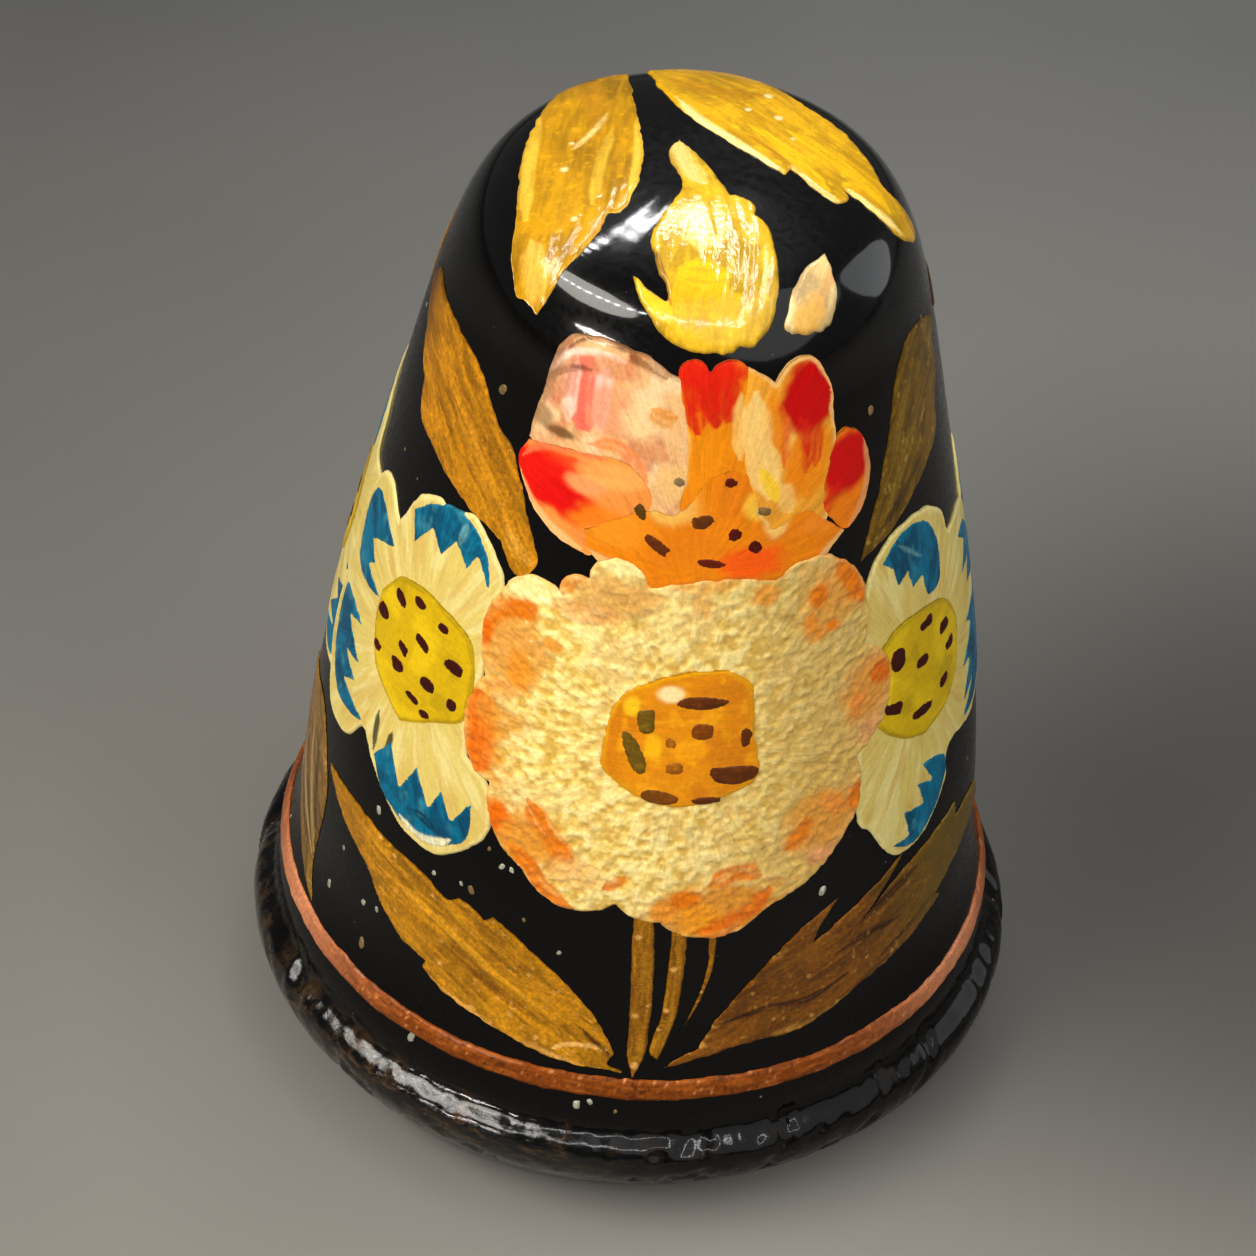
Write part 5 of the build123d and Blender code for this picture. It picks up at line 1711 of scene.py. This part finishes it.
skin = np.vstack([bead_skin[::2], wall_skin[6:-11:7], wall_skin[-11::2], wall_skin[-1:]])
back_face = np.vstack([wall_line[::-1][10::40], bead_line[::-1][8::12]])
back_face = np.vstack([[(AXIS, WOOD_HEIGHT + 0.005), (1.0, WOOD_HEIGHT + 0.005)], back_face, [(8.9, 0.0)]])
turned_piece(
    "lacquer_coat",
    np.vstack([skin, back_face]),
    LACQUER_GLOSS,
    ["black_lacquer"],
    480,
    wear=wear_and_sheen_amount,
    ripple=lambda a, r, z: np.where(
        np.arange(len(r))[:, None] < len(skin), lacquer_flow(a, r, z), 0
    ),
    closed=True,
)


def copper_ring():
    """A hand-turned line of copper paint with uneven edges and a painted pinkish sheen towards its sides."""
    wrap = Wrap(0)
    turns, rows = 1080, 9
    angle = np.linspace(-180, 180, turns, endpoint=False)
    x, y = np.sin(np.radians(angle)) * 10, np.cos(np.radians(angle)) * 10

    def edge(height, wander, scale, seed):
        """Height of one edge, wandering slowly and trembling quickly."""
        slow = wander * (layered(x * scale + 60, y * scale + 60, seed) - 0.5)
        return height + slow + 0.05 * (noise(x * 5 + 60, y * 5 + 60, seed + 1) - 0.5)

    low, high = edge(BAND[0], 0.09, 1.1, 31), edge(BAND[1], 0.1, 0.9, 33)
    share = np.linspace(0, 1, rows)[:, None]
    z = low[None] + (high - low)[None] * share
    v = np.interp(z, WALL_Z, WALL_S)
    r = np.interp(v, WALL_S, WALL_R)
    u = np.radians(angle)[None] * r
    crest = np.sqrt(np.clip(1 - (2 * share - 1) ** 2, 0, 1)) ** 0.5
    grain = layered(u / 0.25, z / 0.1, 35, 3) - 0.5
    lift = 0.012 + 0.07 * crest + 0.03 * grain * crest
    top = wrap.solid(u.ravel(), v.ravel(), lift.ravel())
    under = wrap.solid(u[[0, -1]].ravel(), v[[0, -1]].ravel(), np.full(2 * turns, -0.03))
    faces = []
    for row in range(rows - 1):
        for k in range(turns):
            n = (k + 1) % turns
            faces.append((row * turns + k, row * turns + n, (row + 1) * turns + n, (row + 1) * turns + k))
    foot, head = rows * turns, (rows + 1) * turns
    for k in range(turns):
        n = (k + 1) % turns
        faces.append((foot + k, foot + n, n, k))
        faces.append(((rows - 1) * turns + k, (rows - 1) * turns + n, head + n, head + k))
        faces.append((head + k, head + n, foot + n, foot + k))
    streak = layered(u / 0.5 + 60, z / 0.09, 36).ravel()
    speck = layered(u / 0.12 + 60, z / 0.12, 37).ravel()
    tint = plain(COPPER, turns * rows)
    # Painted sheen: the line lightens to dull pink about 68 degrees either side of the front, where side
    # light grazes it.
    painted_side_sheen = np.exp(-(((np.abs(angle) - 68) / 17) ** 2))
    for colour, amount in (
        (srgb(112, 54, 8), smooth(0.5, 0.7, streak) * 0.8),
        (srgb(168, 92, 28), smooth(0.52, 0.7, 1 - streak) * 0.5),
        (srgb(40, 18, 6), smooth(0.68, 0.8, speck) * 0.7),
        (srgb(214, 140, 80), smooth(0.72, 0.8, 1 - speck) * 0.7),
        (srgb(216, 140, 98), np.tile(painted_side_sheen, rows) * 0.8),
    ):
        tint = mixed(tint, colour, amount)
    pigment = np.vstack([tint, plain(COPPER * 0.4, 2 * turns)])
    brush = np.stack([np.r_[u.ravel(), u[[0, -1]].ravel()], np.r_[v.ravel(), v[[0, -1]].ravel()]], -1)
    places = np.vstack([top, under])
    mesh_piece("copper_line", places, faces, COPPER_PAINT, ["copper_band"], pigment, brush)


copper_ring()

# --- the painted flowers and leaves ---------------------------------------------------------
front_covers = [(line, Wrap(BOUQUET_MIDDLE)) for line in bouquet("", 0, FINE)]
back_wrap = Wrap(BOUQUET_MIDDLE + HALF_TURN)
back_covers = [(line, back_wrap) for line in bouquet("back_", HALF_TURN, BACK_FINE)]
left_shapes = (blue_left, blue_left_tips, blue_left_eye, blue_left_seeds)
right_shapes = (blue_right, blue_right_tips, blue_right_eye, blue_right_seeds)
both = front_covers + back_covers
far_middle = RIGHT_FLOWER_MIDDLE + FAR_TURN
near_back_middle = LEFT_FLOWER_MIDDLE + NEAR_BACK_TURN
left_line = blue_flower("blue_flower_left", left_shapes, 0, LEFT_FLOWER_MIDDLE, FINE, front_covers, 200)
left_cover = (left_line, Wrap(LEFT_FLOWER_MIDDLE))
right_line = blue_flower("blue_flower_right", right_shapes, 0, RIGHT_FLOWER_MIDDLE, FINE, front_covers, 240)
right_cover = (right_line, Wrap(RIGHT_FLOWER_MIDDLE))
far_left = blue_flower(
    "blue_flower_far_left", right_shapes, FAR_TURN, far_middle, BACK_FINE, [*both, left_cover], 280
)
far_right = blue_flower(
    "blue_flower_far_right", left_shapes, NEAR_BACK_TURN, near_back_middle, BACK_FINE,
    [*both, right_cover], 320,
)
covers = [*both, left_cover, right_cover, (far_left, Wrap(far_middle)), (far_right, Wrap(near_back_middle))]

lower_left_spine = [(-66, 10.3), (-48, 9.4), (-30, 8.6), (-14, 7.2), (0, 5.7)]
lower_right_spine = [(9, 5.8), (24, 7.2), (40, 8.1), (60, 8.9), (86, 9.0)]
upper_left_spine = [(-88, 25.0), (-66, 24.2), (-48, 23.2), (-36, 22.0), (-26, 20.6)]
upper_right_spine = [(45, 20.8), (54, 22.4), (64, 24.0), (76, 25.0), (86, 25.2)]
far_left_spine = [(-63, 5.5), (-71, 7.2), (-80, 8.6), (-96, 9.4)]
lower_left = (lower_leaf_left, lower_left_marks, lower_left_spine)
lower_right = (lower_leaf_right, lower_right_marks, lower_right_spine)
far_left_drawing = (far_left_leaf, far_left_marks, far_left_spine)
upper_left = (upper_leaf_left, upper_left_marks, upper_left_spine)
upper_right = (upper_leaf_right, upper_right_marks, upper_right_spine)
brown = srgb(120, 70, 8)
wall_leaves = [
    ("lower_leaf_left", lower_left, 0, -30, FINE, LEAF_GOLD),
    ("lower_leaf_right", lower_right, 0, 45, FINE, brown),
    ("lower_leaf_far_left", far_left_drawing, 0, -80, FINE, srgb(126, 92, 34)),
    ("upper_leaf_left", upper_left, 0, -55, FINE, srgb(180, 118, 8)),
    ("upper_leaf_right", upper_right, 0, 65, FINE, srgb(112, 80, 8)),
    ("back_lower_leaf_left", lower_left, HALF_TURN, 150, BACK_FINE, LEAF_GOLD),
    ("back_lower_leaf_right", lower_right, HALF_TURN, 225, BACK_FINE, brown),
    ("back_upper_leaf_left", upper_left, HALF_TURN, 125, BACK_FINE, LEAF_GOLD),
    ("back_upper_leaf_right", upper_right, HALF_TURN, 245, BACK_FINE, LEAF_GOLD),
]
for order, (node, drawing, turn, middle, step, wash) in enumerate(wall_leaves):
    lift, seed = 0.055 - order * 0.002, 400 + order * 20
    covers.append(
        leaf(node, drawing, turn, middle, step, covers, wash, lift, LEAF_PAINT, "leaf_gold_paint", seed)
    )

pale_gold = srgb(250, 206, 70)
white_gold = srgb(252, 226, 140)
crown_work = {
    "crown_leaf_left": (
        BRIGHT_GOLD,
        [(-2.6, 4.4), (-2.9, 1.5), (-3.0, -1.5), (-3.4, -4.6)],
        [
            ([(-2.4, 1.9), (-2.7, 1.0), (-3.2, 0.2)], 0.1, white_gold, 0.7),
            ([(-1.6, 2.0), (-1.5, 0.6), (-1.6, -1.8)], 0.14, pale_gold, 0.7),
            ([(-4.1, 2.0), (-4.2, 0.0), (-4.1, -2.4)], 0.2, pale_gold, 0.6),
            ([(-2.2, 1.2), (-2.4, -0.4), (-2.5, -2.0)], 0.16, srgb(240, 196, 60), 0.6),
            ([(-3.0, 3.8), (-2.8, 2.4), (-2.6, 1.2)], 0.4, GOLD_DARK, 0.6),
            ([(-3.9, -3.0), (-3.7, -3.8), (-3.5, -4.4)], 0.3, srgb(240, 180, 70), 0.8),
        ],
        [(-3.3, -0.6, 0.12), (-3.2, 0.5, 0.08), (-2.9, -2.5, 0.1)],
    ),
    "crown_leaf_right": (
        srgb(228, 170, 12),
        [(-1.0, 4.4), (0.8, 3.2), (2.6, 1.4), (5.2, -0.5)],
        [
            ([(-0.7, 2.9), (0.0, 1.9), (1.1, 0.9), (2.1, 0.1)], 0.14, white_gold, 0.9),
            ([(1.2, 1.9), (2.2, 0.9), (3.4, -0.5)], 0.22, srgb(246, 192, 12), 0.8),
            ([(2.2, 1.9), (3.6, 0.8), (5.0, -0.5)], 0.25, srgb(248, 190, 10), 0.8),
            ([(-0.9, 3.9), (0.2, 3.4), (1.6, 3.5)], 0.3, GOLD_DARK, 0.8),
            ([(-1.0, 4.5), (0.6, 4.6), (1.8, 4.2)], 0.2, srgb(214, 164, 70), 0.8),
            ([(1.2, 1.4), (1.9, 0.8), (2.4, 0.3)], 0.07, GOLD_DARK, 0.9),
            ([(3.9, -0.2), (4.7, -0.7), (5.3, -0.8)], 0.12, white_gold, 0.7),
            ([(2.6, 0.1), (3.2, -0.5), (3.7, -0.8)], 0.1, white_gold, 0.7),
        ],
        [(1.7, 3.5, 0.14), (2.0, 2.4, 0.13), (1.2, 2.6, 0.1), (2.4, 1.5, 0.08)],
    ),
    "crown_leaf_centre": (
        srgb(234, 182, 30),
        [(-0.5, 1.0), (0.2, -1.2), (0.6, -3.2), (0.4, -5.6)],
        [
            ([(-0.5, 0.9), (-0.3, 0.0), (0.3, -0.9)], 0.3, srgb(244, 208, 120), 0.9),
            ([(0.6, -1.0), (1.3, -1.7), (1.8, -2.8)], 0.3, srgb(236, 172, 30), 0.8),
            ([(0.0, -1.6), (0.2, -2.6), (0.3, -3.4)], 0.35, srgb(248, 214, 120), 0.8),
            ([(-0.2, -4.0), (0.4, -4.2), (1.0, -4.0)], 0.6, srgb(244, 186, 6), 0.9),
            ([(-0.6, -4.8), (0.4, -4.9), (1.4, -4.6)], 0.35, srgb(236, 172, 12), 0.8),
            ([(1.4, -3.2), (1.6, -4.0), (1.5, -4.8)], 0.14, GOLD_DARK, 0.7),
            ([(-1.2, -4.4), (-0.7, -4.9), (-0.2, -5.3)], 0.2, srgb(246, 196, 30), 0.8),
            ([(-0.9, -3.4), (-0.6, -4.2), (-0.3, -5.0)], 0.1, srgb(120, 70, 4), 0.8),
        ],
        [(0.1, -1.5, 0.12), (0.7, -3.1, 0.14), (-0.6, -2.0, 0.12)],
    ),
    "crown_leaf_small": (
        srgb(246, 206, 134),
        [(3.5, -2.7), (3.3, -3.6), (2.8, -4.8)],
        [
            ([(3.4, -3.9), (3.1, -4.4), (2.8, -4.8)], 0.3, srgb(238, 176, 66), 0.85),
            ([(3.6, -3.2), (3.4, -3.8), (3.2, -4.2)], 0.14, srgb(232, 170, 90), 0.7),
        ],
        [],
    ),
}
for order, (node, (wash, spine, edges, flecks)) in enumerate(crown_work.items()):
    drawing, seed = (crown_leaves[node], crown_marks(edges, flecks), spine), 700 + order * 20
    leaf(node, drawing, 0, None, FINE, [], wash * 0.8, 0.075, CROWN_PAINT, "bright_gold_paint", seed, 0.4)

# Spatters of cream paint and dust caught in the varnish.
specks = Brushwork()
scatter = random.Random(12)
named = [(-42, 24.9, 0.15), (-48.8, 10.9, 0.12), (34, 10.95, 0.13), (-27, 10.4, 0.12), (-34.5, 10.3, 0.08)]
named += [(-10.5, 9.3, 0.07), (-48, 6.1, 0.14), (-33.5, 4.62, 0.13), (-29, 10.45, 0.07), (-17, 10.1, 0.06)]
named += [(-49.5, 7.4, 0.1), (-46, 7.6, 0.08), (50, 24.8, 0.12), (-22, 11.6, 0.09), (-20.2, 11.6, 0.08)]
named += [(-24.7, 12.0, 0.06), (-3, 4.55, 0.09), (-5, 4.4, 0.12), (1, 4.3, 0.06), (-60, 6.6, 0.12)]
named += [(-57, 8.4, 0.07)]
for _ in range(SPECK_COUNT):
    named.append((scatter.uniform(55, 300), scatter.uniform(4.2, 26), scatter.uniform(0.03, 0.08)))
for index, (angle, height, size) in enumerate(named):
    wrap = Wrap(angle)
    tone = srgb(150, 152, 132) if index % 3 else srgb(110, 88, 50)
    size *= 0.8
    half_width = math.degrees(size / np.interp(height, WALL_Z, WALL_R))
    oval = [(angle, height, half_width, size * 1.5, index * 37 % 60 - 30)]
    seeds(specks, wrap, oval, 0, [tone], 0.0, 0.05, 0.04, 900 + index)
specks.finish("paint_spatters", SPATTER, "cream_paint")

# --- floor, light and camera ------------------------------------------------------------------
floor_mesh = bpy.data.meshes.new("table_top")
corners = [(x * FLOOR_HALF, y * FLOOR_HALF, 0) for x, y in ((-1, -1), (1, -1), (1, 1), (-1, 1))]
floor_mesh.from_pydata(corners, [], [(0, 1, 2, 3)])
table = bpy.data.objects.new("table_top", floor_mesh)
bpy.context.scene.collection.objects.link(table)
floor_mesh.materials.append(floor_material())


def area_light(name, place, aim, size, power, colour, tall=None):
    """An oval light of the given width and height, in metres and watts, turned to its aim."""
    lamp = bpy.data.lights.new(name, "AREA")
    lamp.shape = "ELLIPSE"
    lamp.size = size
    lamp.size_y = tall or size
    lamp.energy = power
    lamp.color = colour
    holder = bpy.data.objects.new(name, lamp)
    holder.location = place
    holder.rotation_euler = (Vector(aim) - Vector(place)).to_track_quat("-Z", "Y").to_euler()
    bpy.context.scene.collection.objects.link(holder)


KEY = Vector((-0.57, -0.33, 0.76)).normalized() * 0.22
area_light("window_light", KEY, (0, 0, 0.012), 0.19, 0.33, (1.0, 0.96, 0.88), 0.09)
area_light("front_fill", (0.22, -0.2, 0.3), (0, 0, 0.014), 0.6, 0.66, (0.97, 0.98, 1.0))
area_light("low_strip", (-0.115, -0.145, 0.07), (0, 0, 0.003), 0.07, 0.1, (1.0, 0.9, 0.86), 0.01)
area_light("rear_glow", (0.22, 0.08, 0.11), (0, 0, 0.028), 0.14, 0.09, (0.95, 0.98, 1.0), 0.2)

# A loop of small lamps over the crown, drawn in millimetres; it shows as a ring in the varnish.
LAMP_HEIGHT, LAMP_SPACING, LAMP_POWER, LAMP_RADIUS = 0.15, 15, 0.018, 0.0036
loop = [(-141, -27), (-85, -81), (-24, -118), (26, -134), (72, -126), (62, -62), (42, -4)]
loop += [(20, 69), (4, 112), (-9, 108), (-28, 80), (-64, 41), (-112, 4), (-141, -27)]
for index, (across, up) in enumerate(through(np.array(loop, float), LAMP_SPACING)[:-1]):
    lamp = bpy.data.lights.new(f"ring_lamp_{index}", "POINT")
    lamp.energy = LAMP_POWER
    lamp.shadow_soft_size = LAMP_RADIUS
    holder = bpy.data.objects.new(f"ring_lamp_{index}", lamp)
    holder.location = (across / 1000, up / 1000, LAMP_HEIGHT)
    bpy.context.scene.collection.objects.link(holder)

world = bpy.data.worlds.new("soft_room")
bpy.context.scene.world = world
world.use_nodes = True
world.node_tree.nodes["Background"].inputs["Color"].default_value = (0.95, 0.97, 1.0, 1)
world.node_tree.nodes["Background"].inputs["Strength"].default_value = 0.09

eye_data = bpy.data.cameras.new("view_from_front")
eye_data.sensor_width = 36
eye_data.lens = 129.18
eye_data.clip_start = 0.005
eye_data.clip_end = 5
camera = bpy.data.objects.new("view_from_front", eye_data)
VIEW_PLACE = (0, -0.092714, 0.097085)
right = Vector((0.99574, 0.06601, 0.06435)).normalized()
ahead = Vector((-0.0056, 0.74011, -0.67246)).normalized()
over = right.cross(ahead).normalized()
right = ahead.cross(over).normalized()
camera.matrix_world = Matrix(
    (
        (right.x, over.x, -ahead.x, VIEW_PLACE[0]),
        (right.y, over.y, -ahead.y, VIEW_PLACE[1]),
        (right.z, over.z, -ahead.z, VIEW_PLACE[2]),
        (0, 0, 0, 1),
    )
)
bpy.context.scene.collection.objects.link(camera)
bpy.context.scene.camera = camera
bpy.context.scene.view_settings.view_transform = "Standard"
